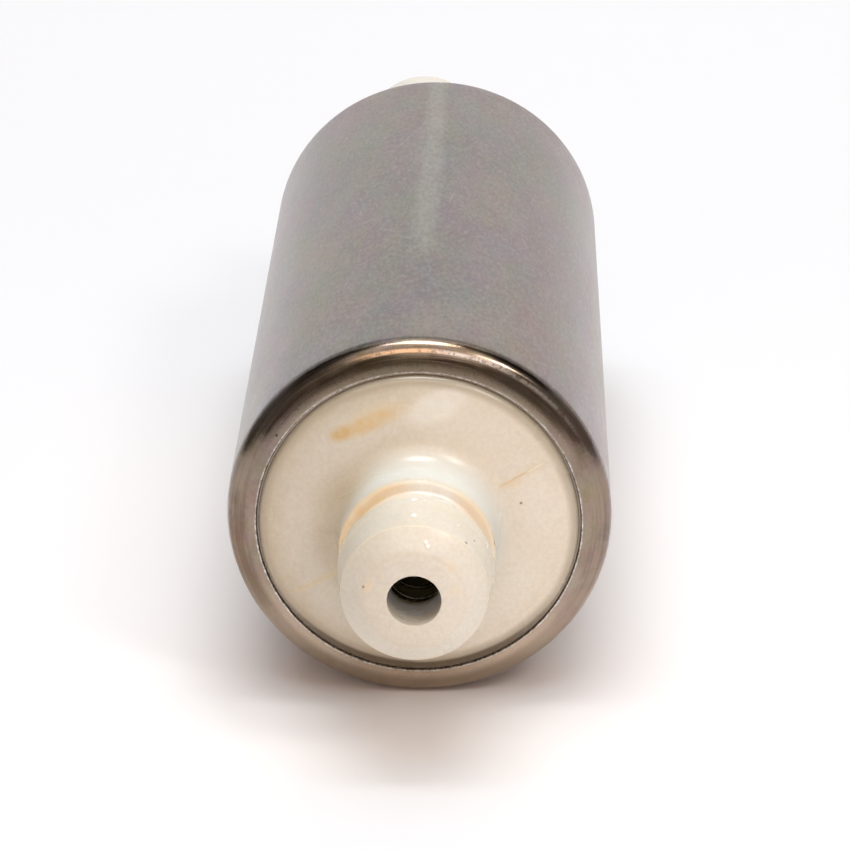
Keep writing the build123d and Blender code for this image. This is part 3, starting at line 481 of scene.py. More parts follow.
def can_steel():
    """Plated steel: matte barrel, burnished bronze-brown roll, paler lip and sheared edge."""
    s = Surface("can_steel")
    t = s.tree
    along = (1, 0.42, 1)
    cloud = grain(t, s.place, 60, detail=4, stretch=along)
    mottle = grain(t, s.place, 330, detail=6, roughness=0.7, stretch=along)
    fine = grain(t, s.place, 2400, detail=3, roughness=0.7, stretch=along)
    flattened = make(t, "Mapping", Vector=s.place, Scale=along).outputs[0]
    tints = [
        make(t, "TexNoise", Vector=flattened, Scale=scale, Detail=3.0,
             Roughness=0.65).outputs["Color"]
        for scale in (130, 480, 1500)
    ]
    station = calc(t, "ABSOLUTE", s.y)
    around = make(t, "CombineXYZ", X=calc(t, "SUBTRACT", station, s.radius),
                  Y=times(t, s.x, 0.05), Z=times(t, s.z, 0.05))
    ring_lines = grain(t, around.outputs[0], 1900, detail=3)
    upper = fade(t, s.z, 8 * MM, 17 * MM)
    lined = fade(t, upper, 0, 1, 0.30, 0.60)

    # Where the roll, the lip, the painted dark reflection between them above the axis, and the
    # sheared edge are
    blurred = calc(t, "ADD", station, times(t, grain(t, s.place, 700), 0.4 * MM))
    roll_start = can_half - burnished_length + 0.05 * MM
    roll = fade(t, blurred, roll_start, roll_start + 0.35 * MM)
    lip = times(t, fade(t, s.radius, lip_radius + 1.7 * MM, lip_radius + 0.6 * MM), roll)
    # Painted dark reflection: a dark band between roll and lip, above the axis only
    dark_reflection_band = calc(t, "ABSOLUTE", calc(t, "SUBTRACT", s.radius, can_radius - 1.95 * MM))
    dark_reflection_band = times(t, fade(t, dark_reflection_band, 0.60 * MM, 0.15 * MM, 0, 0.22), upper, roll)
    uneven = calc(t, "ADD", s.radius, times(t, grain(t, s.place, 900), 0.35 * MM))
    edge = fade(t, uneven, lip_radius + 0.42 * MM, lip_radius + 0.24 * MM)

    bright = blend(t, fade(t, fine, 0.4, 0.6), colour(0.42, 0.38, 0.34), colour(0.78, 0.75, 0.71))
    paint = can_barrel(s, cloud, mottle, fine, tints)
    paint = blend(t, roll, paint, can_roll(s, fine, ring_lines, upper, lined, tints[:2]))
    paint = blend(t, lip, paint, can_lip(s, mottle, upper, tints[:2]))
    paint = blend(t, dark_reflection_band, paint, colour(0.10, 0.070, 0.050))
    paint = blend(t, edge, paint, bright)

    # Pits and pale specks, sparse over the whole can
    cells = make(t, "TexVoronoi", Vector=s.place, Scale=260.0, Randomness=1.0)
    chosen = make(t, "SeparateColor", Color=cells.outputs["Color"])
    dot = fade(t, cells.outputs["Distance"], 0.060, 0.030)
    pit = times(t, dot, calc(t, "GREATER_THAN", chosen.outputs[0], 0.93))
    speck = times(t, dot, calc(t, "LESS_THAN", chosen.outputs[0], 0.06))
    paint = blend(t, times(t, pit, 0.8), paint, colour(0.05, 0.04, 0.035))
    paint = blend(t, times(t, speck, 0.7), paint, colour(0.62, 0.58, 0.54))

    rough = between(t, roll, fade(t, mottle, 0.3, 0.7, 0.33, 0.43),
                    fade(t, ring_lines, 0.3, 0.7, 0.12, 0.24))
    rough = between(t, lip, rough, fade(t, fine, 0.3, 0.7, 0.27, 0.33))
    normal = s.bumps([
        (grain(t, s.place, 90, detail=2), 0.25 * MM, 0.10),
        (fine, 0.05 * MM, fade(t, roll, 0, 1, 0.35, 0.08)),
        (mottle, 0.10 * MM, fade(t, roll, 0, 1, 0.15, 0.05)),
        (ring_lines, 0.04 * MM, times(t, roll, lined)),
        (dot, 0.10 * MM, times(t, pit, 0.6)),
    ])
    return s.finish(
        Base_Color=paint, Metallic=1.0, Roughness=rough, Normal=normal,
        Coat_Weight=times(t, calc(t, "SUBTRACT", 1.0, roll), 0.55), Coat_Roughness=0.28,
    )


def cover_plastic(name, marked):
    """Cream moulded plastic, a little translucent; the front one bears the photo's marks."""
    s = Surface(name)
    t = s.tree
    cloud = grain(t, s.place, 70, detail=4)
    fine = grain(t, s.place, 900, detail=4, roughness=0.6)
    peel = grain(t, s.place, 750, detail=2)
    # Painted shade: darker towards the left and lighter towards the right
    paint = blend(t, fade(t, s.x, -12 * MM, 8 * MM), colour(0.655, 0.628, 0.540),
                  colour(0.805, 0.767, 0.672))
    paint = blend(t, fade(t, cloud, 0.35, 0.68), paint, colour(0.95, 0.925, 0.895), "MULTIPLY")
    paint = blend(t, fade(t, fine, 0.4, 0.75, 0, 0.25), paint, colour(0.725, 0.700, 0.620))
    speckle = grain(t, s.place, 2200, detail=2)
    paint = blend(t, fade(t, speckle, 0.35, 0.65), paint, colour(0.955, 0.945, 0.935), "MULTIPLY")
    rough = fade(t, cloud, 0.3, 0.7, 0.20, 0.30)
    layers = [(peel, 0.10 * MM, 0.22), (fine, 0.03 * MM, 0.15)]
    if marked:
        paint, rough = front_marks(s, paint, rough, fine)
        # Painted glints: near-white paint on the wet spots, which are also raised and glossy
        for place_and_size in drops_and_glints:
            drop_and_glint = fleck(s, *place_and_size)
            paint = blend(t, times(t, drop_and_glint, 0.9), paint, colour(0.93, 0.93, 0.90))
            rough = between(t, drop_and_glint, rough, 0.04)
            layers.append((drop_and_glint, 0.20 * MM, 0.5))
        spigot = fade(t, s.radius, 10.5 * MM, 9.0 * MM)
        profile = make(t, "CombineXYZ", X=s.radius, Y=s.y)
        ridges = grain(t, profile.outputs[0], 1100, detail=3)
        layers.append((ridges, 0.05 * MM, times(t, spigot, 0.5)))
    return s.finish(
        Base_Color=paint, Roughness=rough, Normal=s.bumps(layers), IOR=1.5,
        Subsurface_Weight=0.25, Subsurface_Radius=(1.0, 0.75, 0.5), Subsurface_Scale=1.2 * MM,
        Coat_Weight=0.15, Coat_Roughness=0.12,
    )


def front_marks(s, paint, rough, fine):
    """Stains, hairlines, dirt, painted shade, painted light and a painted reflection on the front
    cover, each where it sits on the moulding.
    """
    t = s.tree
    face = fade(t, s.y, -can_half + 0.1 * MM, -can_half - 0.1 * MM)
    patchy = calc(t, "ADD", 0.75, times(t, calc(t, "SUBTRACT", fine, 0.5), 1.2))
    soft_noise = grain(t, s.place, 240, detail=3)
    paint = cover_tones_and_painted_light(s, paint, face, patchy)
    paint = spigot_marks(s, paint, soft_noise, patchy)
    paint = face_marks(s, paint, face, patchy)
    paint = dark_marks(s, paint, fine)
    paint = rim_grime_and_shade(s, paint, soft_noise)
    return bore_painted_shade(s, paint, rough)


def cover_tones_and_painted_light(s, paint, face, patchy):
    """Broad tones: whiter on the spigot's base, painted shade round its fillet, tan at the face's
    edge, and a painted reflection at the top of the face.
    """
    t = s.tree
    base = times(
        t, fade(t, s.y, base_front + 6.6 * MM, base_front + 4.6 * MM),
        fade(t, s.y, base_front + 0.3 * MM, base_front + 1.6 * MM),
        fade(t, s.x, -8.0 * MM, -4.0 * MM, 0.15, 1.0), 0.75,
    )
    paint = blend(t, base, paint, colour(0.735, 0.765, 0.735))

    # Painted shade round the spigot's fillet, tan, strongest on the left and below; the face's
    # edge is also darker and tan, most on the left
    root = times(
        t, fade(t, s.radius, 13.0 * MM, 9.6 * MM),
        fade(t, s.y, base_front + 2.6 * MM, base_front + 5.0 * MM),
        fade(t, s.x, 7.0 * MM, -5.0 * MM, 0.30, 1.0),
        fade(t, s.z, 10.0 * MM, 4.0 * MM, 0.35, 1.0),
    )
    paint = blend(t, root, paint, colour(0.87, 0.800, 0.69), "MULTIPLY")
    border = times(t, fade(t, s.radius, 13.8 * MM, 17.8 * MM), face,
                   fade(t, s.x, 9.0 * MM, -5.0 * MM, 0.25, 1.0))
    paint = blend(t, border, paint, colour(0.84, 0.79, 0.70), "MULTIPLY")

    # Painted reflection: a paler patch at the top of the face, right of the streak
    patch = times(t, spot(s, 2.2, 14.6, 4.8, 2.3, 27, 0.55), face, patchy, 0.75)
    return blend(t, patch, paint, colour(0.83, 0.83, 0.76))


def spigot_marks(s, paint, soft_noise, patchy):
    """Stain in the neck, painted light on the base's front face, turned lines on the bead, rings
    and smears on the nose.
    """
    t = s.tree

    # Fuel stain: an orange line at the base's front edge that fades to peach in the neck
    side = calc(t, "ADD", fade(t, s.x, 0.5 * MM, -3.5 * MM, 0.12, 1.0),
                fade(t, s.x, 2.5 * MM, 6.0 * MM, 0, 0.40))
    neck = times(t, fade(t, s.y, base_front + 0.2 * MM, base_front - 0.1 * MM),
                 fade(t, s.y, base_front - 4.6 * MM, base_front - 3.2 * MM))
    neck_share = times(t, side, fade(t, soft_noise, 0.35, 0.6, 0.25, 0.85))
    # Painted light: the base's front face and the neck's rear edge painted near white
    painted_light_ring = fade(t, s.y, base_front - 0.45 * MM, base_front - 0.15 * MM)
    paint = blend(t, times(t, neck, 0.8), paint, colour(0.74, 0.72, 0.65))
    paint = blend(t, times(t, neck, painted_light_ring, 0.95), paint, colour(0.98, 1.0, 1.0))
    paint = blend(t, times(t, neck, neck_share), paint, colour(0.86, 0.72, 0.56))
    line = times(t, fade(t, s.y, base_front + 0.55 * MM, base_front + 0.1 * MM),
                 fade(t, s.y, base_front - 0.5 * MM, base_front - 0.1 * MM))
    line_share = times(t, side, fade(t, soft_noise, 0.3, 0.6, 0.55, 0.95))
    paint = blend(t, times(t, line, line_share), paint, colour(0.80, 0.62, 0.36))

    lathe_lines = grain(t, s.place, 1700, detail=2, stretch=(0.03, 1, 0.03))
    bead_lines = times(
        t, fade(t, s.y, bead_rear + 0.2 * MM, bead_rear - 0.3 * MM),
        fade(t, s.y, bead_front - 0.2 * MM, bead_front + 0.3 * MM),
        fade(t, lathe_lines, 0.52, 0.66, 0, 0.55),
    )
    paint = blend(t, bead_lines, paint, colour(0.74, 0.66, 0.50))
    on_nose = fade(t, s.y, bead_front + 0.4 * MM, bead_front - 0.1 * MM)
    for ring_radius, half_width, share in nose_rings:
        away = calc(t, "ABSOLUTE", calc(t, "SUBTRACT", s.radius, ring_radius * MM))
        ring = times(t, fade(t, away, half_width * MM, 0.0), on_nose, patchy, share)
        paint = blend(t, ring, paint, colour(0.66, 0.56, 0.38))
    for *oval, share in nose_smears:
        smear = times(t, spot(s, *oval), on_nose, share)
        paint = blend(t, smear, paint, colour(0.84, 0.66, 0.40))
    return paint


def face_marks(s, paint, face, patchy):
    """Brown streak, knit line of the moulding and a rusty spot on the dished face."""
    t = s.tree
    for *oval, share, shade in face_streak:
        streak = times(t, spot(s, *oval), patchy, share, face)
        paint = blend(t, streak, paint, colour(*shade))

    # The knit line is a hairline with a faint halo, right across the face
    across = calc(t, "SUBTRACT", times(t, s.z, cos(knit_slant)), times(t, s.x, sin(knit_slant)))
    waver = times(t, calc(t, "SUBTRACT", grain(t, s.place, 240, detail=5), 0.5), 1.0 * MM)
    offset = calc(t, "ABSOLUTE", calc(t, "ADD", across, waver))
    reach = times(t, fade(t, s.radius, 16.6 * MM, 15.0 * MM),
                  fade(t, s.radius, 10.0 * MM, 10.8 * MM), face)
    halo = times(t, fade(t, offset, 0.7 * MM, 0.0), reach, 0.35)
    paint = blend(t, halo, paint, colour(0.70, 0.58, 0.38))
    hairline = times(t, fade(t, offset, 0.13 * MM, 0.03 * MM), reach,
                     fade(t, s.x, -2.0 * MM, 12.0 * MM, 0.60, 0.75))
    line_colour = blend(t, fade(t, s.x, 11.6 * MM, 12.4 * MM), colour(0.66, 0.50, 0.25),
                        colour(0.86, 0.82, 0.62))
    paint = blend(t, hairline, paint, line_colour)
    rust = times(t, spot(s, 10.4, 5.5, 1.9, 0.8, 15, 0.95), face, 0.3)
    return blend(t, rust, paint, colour(0.80, 0.56, 0.30))


def dark_marks(s, paint, fine):
    """Small dark specks, and a short dark crack low on the right of the bead."""
    t = s.tree
    for place_and_size in flecks:
        mark = times(t, fleck(s, *place_and_size), 0.8)
        paint = blend(t, mark, paint, colour(0.24, 0.16, 0.09))
    ragged = calc(t, "ADD", s.y, times(t, fine, 0.5 * MM))
    crack = calc(t, "ABSOLUTE", calc(t, "SUBTRACT", ragged, crack_station))
    crack = times(
        t, fade(t, crack, 0.11 * MM, 0.03 * MM), fade(t, s.x, 7.7 * MM, 8.1 * MM),
        fade(t, s.z, 0.5 * MM, 1.2 * MM), fade(t, s.z, 2.9 * MM, 2.3 * MM), 0.85,
    )
    return blend(t, crack, paint, colour(0.25, 0.17, 0.09))


def rim_grime_and_shade(s, paint, soft_noise):
    """Grime and painted shade on the rounded edge beside the can's lip, thickest below, and a
    brown line in the seam.
    """
    t = s.tree
    low = fade(t, s.z, -6.0 * MM, -17.0 * MM)
    uneven = times(t, calc(t, "SUBTRACT", soft_noise, 0.5), 0.3 * MM)
    rim = calc(t, "ADD", calc(t, "ADD", s.radius, uneven), times(t, low, 0.90 * MM))
    outside = fade(t, s.y, -can_half + 1.2 * MM, -can_half + 1.0 * MM)
    # Painted shade with grime: a tan film on the rounded edge, wider below
    edge_film_and_shade = times(t, fade(t, rim, boss_radius - 1.5 * MM, boss_radius - 0.4 * MM), outside, 0.85)
    paint = blend(t, edge_film_and_shade, paint, colour(0.42, 0.365, 0.275))
    # Painted shade with grime: a near-black band next to the lip, darkest below
    gap_grime_and_shade = times(t, fade(t, rim, boss_radius - 0.50 * MM, boss_radius - 0.02 * MM), outside,
                  fade(t, low, 0, 1, 0.50, 0.97))
    paint = blend(t, gap_grime_and_shade, paint, colour(0.105, 0.076, 0.042))
    seam = times(t, fade(t, s.radius, boss_radius, boss_radius + 0.04 * MM), outside)
    return blend(t, seam, paint, colour(0.50, 0.42, 0.33))


def bore_painted_shade(s, paint, rough):
    """The bore's wall in painted shade: grey, bluish towards the valve chamber, and dark and
    glossy beyond.
    """
    t = s.tree
    # Painted shade on the bore's wall: grey and warm at the mouth, bluish deeper in
    wall = times(t, fade(t, s.radius, bore_radius + 0.12 * MM, bore_radius + 0.04 * MM),
                 fade(t, s.y, nose_face + 0.1 * MM, nose_face + 1.5 * MM))
    wall_shade = blend(t, fade(t, s.y, nose_face + 1.6 * MM, nose_face + 3.2 * MM),
                       colour(0.60, 0.555, 0.46), colour(0.56, 0.60, 0.60))
    paint = blend(t, wall, paint, wall_shade)
    # Painted shade: dark at the bore's end and the chamber's mouth
    bore_end = nose_face + bore_length
    depth = times(t, fade(t, s.y, bore_end - 1.1 * MM, bore_end - 0.2 * MM),
                  fade(t, s.radius, chamber_radius + 0.2 * MM, chamber_radius))
    paint = blend(t, depth, paint, colour(0.230, 0.220, 0.125))
    return paint, between(t, depth, rough, 0.30)


def metal(name, dark, light, scale, roughness, stretch=(1, 1, 1), stain=None, depth=0.03):
    """Metal whose colour, roughness and fine relief all follow one stretched grain."""
    s = Surface(name)
    t = s.tree
    fine = grain(t, s.place, scale, detail=5, roughness=0.65, stretch=stretch)
    cloud = grain(t, s.place, 120, detail=4)
    paint = blend(t, fade(t, fine, 0.32, 0.68), dark, light)
    if stain:
        paint = blend(t, fade(t, cloud, 0.5, 0.75, 0, 0.6), paint, stain)
    rough = calc(t, "ADD", fade(t, fine, 0.3, 0.7, roughness - 0.06, roughness + 0.06),
                 fade(t, cloud, 0.3, 0.7, -0.03, 0.05))
    normal = s.bumps([(fine, depth * MM, 0.4), (cloud, 0.1 * MM, 0.1)])
    return s.finish(Base_Color=paint, Metallic=1.0, Roughness=rough, Normal=normal)


def moulded(name, dark, light, scale, roughness, depth):
    """Rubber, resin or ceramic: grained colour, soft relief and uneven gloss."""
    s = Surface(name)
    t = s.tree
    fine = grain(t, s.place, scale, detail=4, roughness=0.6)
    cloud = grain(t, s.place, 90, detail=4)
    paint = blend(t, fade(t, cloud, 0.35, 0.65), dark, light)
    paint = blend(t, fade(t, fine, 0.45, 0.75, 0, 0.3), paint, light)
    rough = fade(t, fine, 0.3, 0.7, roughness - 0.08, roughness + 0.08)
    normal = s.bumps([(fine, depth * MM, 0.4)])
    return s.finish(Base_Color=paint, Roughness=rough, Normal=normal)


def lamination_steel():
    """Thin stacked sheets: rings across the axis, dark oxide between them."""
    s = Surface("lamination_steel")
    t = s.tree
    sheets = make(
        t, "TexWave", {"wave_type": "BANDS", "bands_direction": "Y", "wave_profile": "SIN"},
        Vector=s.place, Scale=320.0, Distortion=0.3, Detail=2.0, Detail_Scale=60.0,
    ).outputs["Fac"]
    cloud = grain(t, s.place, 160, detail=5)
    paint = blend(t, fade(t, sheets, 0.15, 0.6), colour(0.10, 0.095, 0.10),
                  colour(0.34, 0.33, 0.34))
    paint = blend(t, fade(t, cloud, 0.55, 0.75, 0, 0.4), paint, colour(0.20, 0.15, 0.12))
    normal = s.bumps([(sheets, 0.05 * MM, 0.5), (cloud, 0.05 * MM, 0.2)])
    return s.finish(Base_Color=paint, Metallic=1.0, Roughness=0.42, Normal=normal)


def copper_wire():
    """Wound copper: strands along the slots and around the end turns, under amber varnish."""
    s = Surface("copper_wire")
    t = s.tree
    strands = make(
        t, "TexWave", {"wave_type": "RINGS", "rings_direction": "Y", "wave_profile": "SIN"},
        Vector=s.place, Scale=340.0, Distortion=1.2, Detail=2.0, Detail_Scale=80.0,
    ).outputs["Fac"]
    varnish = grain(t, s.place, 150, detail=4)
    paint = blend(t, fade(t, strands, 0.1, 0.7), colour(0.20, 0.065, 0.030),
                  colour(0.66, 0.29, 0.15))
    paint = blend(t, fade(t, varnish, 0.55, 0.8, 0, 0.5), paint, colour(0.30, 0.11, 0.04))
    normal = s.bumps([(strands, 0.15 * MM, 0.7)])
    return s.finish(Base_Color=paint, Metallic=0.75, Roughness=0.34, Normal=normal,
                    Coat_Weight=0.4, Coat_Roughness=0.2)


front_plastic = cover_plastic("cover_plastic_front", True)
finishes = {
    "can_steel": can_steel(),
    "cover_plastic": cover_plastic("cover_plastic", False),
    "lamination_steel": lamination_steel(),
    "copper_wire": copper_wire(),
}

# Metals: dark and light colour, grain scale, roughness, and what else is not as usual
for name, dark, light, scale, roughness, others in (
    ("brass", (0.50, 0.34, 0.13), (0.72, 0.52, 0.25), 900, 0.28,
     {"stretch": (1, 0.2, 1), "stain": colour(0.30, 0.17, 0.06)}),
    ("spring_steel", (0.09, 0.075, 0.055), (0.24, 0.21, 0.17), 2200, 0.24,
     {"stain": colour(0.13, 0.08, 0.04)}),
    ("plate_aluminium", (0.52, 0.52, 0.51), (0.74, 0.74, 0.73), 700, 0.36,
     {"stretch": (1, 1, 0.15)}),
    ("sintered_steel", (0.13, 0.13, 0.13), (0.36, 0.36, 0.36), 2600, 0.40, {"depth": 0.06}),
    ("ground_steel", (0.44, 0.44, 0.45), (0.62, 0.62, 0.63), 1800, 0.20,
     {"stretch": (0.08, 1, 0.08)}),
    ("bronze", (0.28, 0.15, 0.06), (0.52, 0.32, 0.15), 2400, 0.44,
     {"depth": 0.06, "stain": colour(0.16, 0.08, 0.03)}),
    ("copper", (0.48, 0.19, 0.10), (0.76, 0.40, 0.26), 1600, 0.26,
     {"stretch": (0.1, 1, 0.1), "stain": colour(0.22, 0.08, 0.05)}),
    ("flux_steel", (0.30, 0.29, 0.28), (0.46, 0.45, 0.44), 800, 0.38,
     {"stretch": (1, 0.1, 1), "stain": colour(0.20, 0.13, 0.08)}),
    ("terminal_brass", (0.52, 0.50, 0.44), (0.74, 0.72, 0.66), 1300, 0.26,
     {"stretch": (1, 0.12, 1), "stain": colour(0.42, 0.30, 0.15)}),
):
    finishes[name] = metal(name, colour(*dark), colour(*light), scale, roughness, **others)

# Rubber, resin, carbon and ceramic: the same, with the depth of the relief in millimetres
for name, dark, light, scale, roughness, depth in (
    ("seal_rubber", (0.012, 0.012, 0.013), (0.030, 0.030, 0.031), 1500, 0.55, 0.04),
    ("insulation", (0.10, 0.055, 0.025), (0.19, 0.11, 0.05), 1100, 0.45, 0.04),
    ("brush_carbon", (0.018, 0.018, 0.019), (0.055, 0.052, 0.050), 1900, 0.50, 0.06),
    ("holder_plastic", (0.050, 0.048, 0.046), (0.085, 0.080, 0.075), 1000, 0.42, 0.04),
    ("ferrite", (0.035, 0.034, 0.036), (0.075, 0.072, 0.072), 1500, 0.60, 0.08),
):
    finishes[name] = moulded(name, colour(*dark), colour(*light), scale, roughness, depth)

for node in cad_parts.values():
    for holder in node.material_slots:
        slot_name = holder.material.name.split(".")[0] if holder.material else None
        if slot_name in finishes:
            holder.material = finishes[slot_name]


# Can
def can_waver(station, radius, angle):
    """A point of the can's outline, shifted a little where it is on the lip's sheared edge."""
    place = Vector((cos(angle) * 18, station * 60, sin(angle) * 18))
    edge = max(0.0, 1.0 - (radius - lip_radius) / (0.5 * MM))
    shift = 0.03 * MM * edge * (noise.noise(place) + 0.5 * noise.noise(place * 3))
    return station, radius + shift


def roll_outline():
    """Outside of a rolled end from the lip's edge out to the barrel, before the end plane."""
    points = []
    for index in range(roll_steps + 1):
        tilt = lip_tilt + (roll_break - lip_tilt) * index / roll_steps
        points.append((
            lip_crown * (cos(lip_tilt) - cos(tilt)),
            lip_radius + lip_crown * (sin(tilt) - sin(lip_tilt)),
        ))
    crown_radius = points[-1][1]
    for index in range(1, roll_steps + 1):
        tilt = roll_break + (pi / 2 - roll_break) * index / roll_steps
        points.append((
            crown_depth + roll_bend * (cos(roll_break) - cos(tilt)),
            crown_radius + roll_bend * (sin(tilt) - sin(roll_break)),
        ))
    return points


# One end's outline by its depth behind the end plane: up the wall's inside, round the lip's
# edge and out over the roll. The other end mirrors it.
can_inner = can_radius - can_wall
roll_points = roll_outline()
inside_points = rounded([
    (2 * can_wall + roll_inner_bend, can_inner, 0.0),
    (can_wall, can_inner, roll_inner_bend),
    (can_wall, lip_radius, 0.08 * MM),
    (0.0, lip_radius, 0.10 * MM),
    (*roll_points[1], 0.0),
])
end_outline = inside_points[1:-1] + roll_points[1:]
can_outline = [(depth - can_half, radius) for depth, radius in end_outline]
can_outline += [(can_half - depth, radius) for depth, radius in reversed(end_outline)]
can_piece = lathe(
    "can_shell", subdivided(can_outline, can_segment), "housing",
    finishes["can_steel"], can_waver,
)
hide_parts("can")

# Front cover
front_outline = rounded([
    (nose_face, bore_radius, 0.12 * MM),
    (nose_face, nose_face_radius, 3.0 * MM),
    (bead_front, bead_front_radius, 0.30 * MM),
    (bead_rear, bead_rear_radius, 0.35 * MM),
    (bead_rear, neck_radius, 0.30 * MM),
    (base_front, neck_radius, 0.30 * MM),
    (base_front, base_radius, 0.40 * MM),
    (cone_root, base_radius, 3.0 * MM),
    (boss_face, boss_radius, 0.9 * MM),
    (seam_face, boss_radius, 0.03 * MM),
    (seam_face, seam_radius, 0.03 * MM),
    (flange_front, seam_radius, 0.03 * MM),
    (flange_front, cover_radius, roll_inner_bend),
    (groove_front, cover_radius, 0.1 * MM),
    (groove_front, groove_radius, 0.1 * MM),
    (groove_rear, groove_radius, 0.1 * MM),
    (groove_rear, cover_radius, 0.1 * MM),
    (cover_rear, cover_radius, 0.1 * MM),
    (cover_rear, cavity_radius, 0.1 * MM),
    (cavity_front, cavity_radius, 0.1 * MM),
    (cavity_front, seat_radius, 0.05 * MM),
    (flange_front, seat_radius, 0.05 * MM),
    (flange_front, chamber_radius, 0.05 * MM),
    (nose_face + bore_length, chamber_radius, 0.2 * MM),
    (nose_face + bore_length, bore_radius, 0.1 * MM),
])
cover_piece = lathe(
    "front_cover_moulding", subdivided(front_outline, cover_segment), "housing",
    front_plastic,
)
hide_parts("front_cover")

# Springs and brush leads: a copy of each part, with its finish, stands in its place. The piece
# that it rides on and whether it is held at the rear are listed but not used.
for node, body, held_at_rear, finish in (
    ("valve_spring", "valve_plunger", False, "spring_steel"),
    ("relief_spring", "relief_ball", True, "spring_steel"),
    ("brush_spring_left", "brush_left", True, "spring_steel"),
    ("brush_spring_right", "brush_right", True, "spring_steel"),
    ("brush_lead_left", "brush_left", True, "copper"),
    ("brush_lead_right", "brush_right", True, "copper"),
):
    rest_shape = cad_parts[node]
    flexing = bpy.data.objects.new(f"{node}_flexing", rest_shape.data.copy())
    bpy.context.collection.objects.link(flexing)
    flexing.matrix_world = rest_shape.matrix_world.copy()
    flexing.data.materials.clear()
    flexing.data.materials.append(finishes[finish])
    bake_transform(flexing)
    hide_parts(node)


# Floor and light
def floor_material():
    """Pale matte table, paler towards the back, with painted light close around the pump: paler
    and warmer there.
    """
    s = Surface("table")
    t = s.tree
    tone = grain(t, s.place, 3.0, detail=2)
    paint = blend(t, fade(t, tone, 0.3, 0.7), colour(0.778, 0.796, 0.826),
                  colour(0.792, 0.811, 0.840))
    paint = blend(t, fade(t, s.y, 0.0, 0.45), paint, colour(0.852, 0.880, 0.918))
    # Painted light: a paler, warmer patch close around the pump that lightens its shadow
    near = times(t, fade(t, calc(t, "ABSOLUTE", s.x), 62 * MM, 28 * MM),
                 fade(t, s.y, 60 * MM, 0), fade(t, s.y, -88 * MM, -62 * MM))
    paint = blend(t, near, paint, colour(0.880, 0.866, 0.868))
    return s.finish(Base_Color=paint, Roughness=0.6, Specular_IOR_Level=0.2)


floor_half = 3.0
floor_mesh = bpy.data.meshes.new("table_top")
floor_corners = [
    (x * floor_half, y * floor_half, -can_radius) for x, y in ((-1, -1), (1, -1), (1, 1), (-1, 1))
]
floor_mesh.from_pydata(floor_corners, [], [(0, 1, 2, 3)])
floor = bpy.data.objects.new("table_top", floor_mesh)
bpy.context.collection.objects.link(floor)
floor_mesh.materials.append(floor_material())


def soft_lamp(name, place, target, width, height, power, tint):
    """A rectangular lamp of the given size in metres and power in watts, aimed at a target."""
    lamp = bpy.data.lights.new(name, "AREA")
    lamp.shape = "RECTANGLE"
    lamp.size = width
    lamp.size_y = height
    lamp.energy = power
    lamp.color = tint
    holder = bpy.data.objects.new(name, lamp)
    bpy.context.collection.objects.link(holder)
    holder.location = place
    aim = Vector(target) - Vector(place)
    holder.rotation_euler = aim.to_track_quat("-Z", "Y").to_euler()


soft_lamp("overhead_strip", (0, -0.03, 0.60), (0, -0.02, 0), 0.34, 0.06, 0.66, (1.0, 1.0, 1.0))
soft_lamp("side_softbox", (0.31, -0.30, 0.45), (0, -0.05, 0), 0.14, 0.14, 0.68, (1.03, 1.0, 0.96))

# Room: its brightness towards each side and above, once for the light that it sheds and once
# for what shows in the metal. The sides near the table are dim, the ceiling sheds most light,
# and what mirrors it also shows a bright window high in front and a lit patch straight above.
room_light = {
    "front": colour(1.31, 0.945, 0.76), "rear": colour(1.23, 1.025, 0.91),
    "top": colour(2.25, 2.52, 2.67),
}
room_mirror = {
    "front_low": colour(0.225, 0.200, 0.160), "rear_low": colour(0.92, 0.91, 0.91),
    "right_low": colour(0.36, 0.35, 0.35), "left_low": colour(0.09, 0.09, 0.09),
    "front_high": colour(0.45, 0.40, 0.35), "rear_high": colour(0.28, 0.27, 0.26),
    "top": colour(0.14, 0.125, 0.11),
}

# The window and the lit patch: heading, outer and inner half angle in degrees, and colour
mirror_patches = (
    ((0.04, -0.47, 0.88), 37, 28, colour(0.98, 0.94, 0.92)),
    ((0.0, 0.03, 1.0), 15, 7, colour(6.0, 5.9, 5.9)),
)

# Where a heading's upward part leaves the low sides for the high ones, and these for the top
high_start = (0.42, 0.60)
top_start = (0.82, 0.92)


def side_share(tree, level, sign):
    """How far a heading turns towards one side of the room, 0 to 1."""
    towards = calc(tree, "MAXIMUM", times(tree, level, sign), 0.0)
    return times(tree, towards, towards)


def summed(tree, terms):
    """Sum of colours, each weighted by its own mask."""
    total = colour(0, 0, 0)
    for mask, shade in terms:
        total = blend(tree, mask, total, shade, "ADD")
    return total


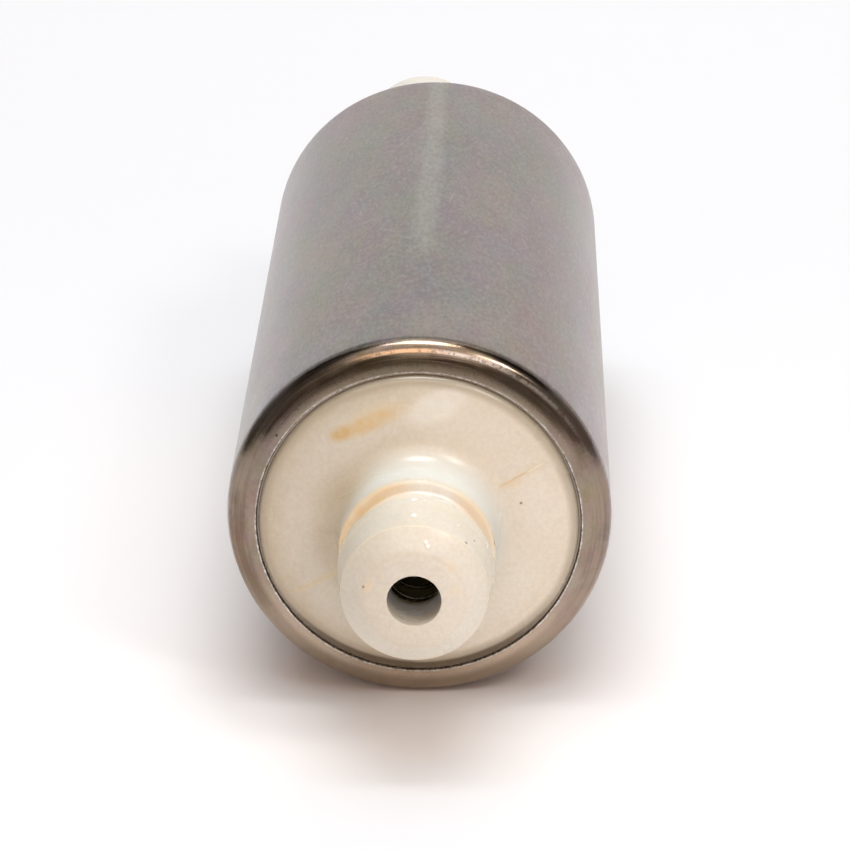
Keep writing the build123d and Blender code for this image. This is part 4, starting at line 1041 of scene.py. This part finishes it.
world = bpy.data.worlds.new("studio")
bpy.context.scene.world = world
world.use_nodes = True
wt = world.node_tree
wt.nodes.clear()
heading = make(wt, "TexCoord").outputs["Generated"]
east, north, up = make(wt, "SeparateXYZ", Vector=heading).outputs
flat = calc(wt, "SUBTRACT", 1.0, times(wt, up, up))
flat = calc(wt, "SQRT", calc(wt, "MAXIMUM", flat, 0.0001))
east = calc(wt, "DIVIDE", east, flat)
north = calc(wt, "DIVIDE", north, flat)
sides = {
    "front": side_share(wt, north, -1.0), "rear": side_share(wt, north, 1.0),
    "right": side_share(wt, east, 1.0), "left": side_share(wt, east, -1.0),
}
above = fade(wt, up, *top_start)
below = calc(wt, "SUBTRACT", 1.0, above)
heights = {
    "low": fade(wt, up, *high_start[::-1]),
    "high": times(wt, fade(wt, up, *high_start), fade(wt, up, *top_start[::-1])),
}
light_terms = [(above, room_light["top"])]
for side in ("front", "rear"):
    light_terms.append((times(wt, below, sides[side]), room_light[side]))
mirror_terms = [(above, room_mirror["top"])]
for zone, shade in room_mirror.items():
    if zone != "top":
        side, height = zone.split("_")
        mirror_terms.append((times(wt, heights[height], sides[side]), shade))
for aim, outer, inner, shade in mirror_patches:
    towards = make(wt, "VectorMath", {"operation": "DOT_PRODUCT"})
    wt.links.new(heading, towards.inputs[0])
    towards.inputs[1].default_value = Vector(aim).normalized()
    patch = fade(wt, towards.outputs["Value"], cos(radians(outer)), cos(radians(inner)))
    mirror_terms.append((patch, shade))
path = make(wt, "LightPath")
light = make(wt, "Background", Color=summed(wt, light_terms), Strength=1.0)
mirror = make(wt, "Background", Color=summed(wt, mirror_terms), Strength=1.0)
backdrop = make(wt, "Background", Color=colour(1.0, 1.0, 1.0), Strength=1.0)
glossy = calc(wt, "MAXIMUM", path.outputs["Is Glossy Ray"], path.outputs["Is Transmission Ray"])
first = make(wt, "MixShader", Fac=glossy)
wt.links.new(light.outputs[0], first.inputs[1])
wt.links.new(mirror.outputs[0], first.inputs[2])
second = make(wt, "MixShader", Fac=path.outputs["Is Camera Ray"])
wt.links.new(first.outputs[0], second.inputs[1])
wt.links.new(backdrop.outputs[0], second.inputs[2])
make(wt, "OutputWorld", Surface=second.outputs[0])

# Camera
camera_data = bpy.data.cameras.new("camera")
camera_data.sensor_width = sensor_width
camera_data.lens = camera_lens
camera = bpy.data.objects.new("camera", camera_data)
bpy.context.collection.objects.link(camera)
camera.location = camera_place
camera.rotation_euler = (camera_pitch, 0, camera_turn)
bpy.context.scene.camera = camera
bpy.context.scene.view_settings.view_transform = "Standard"
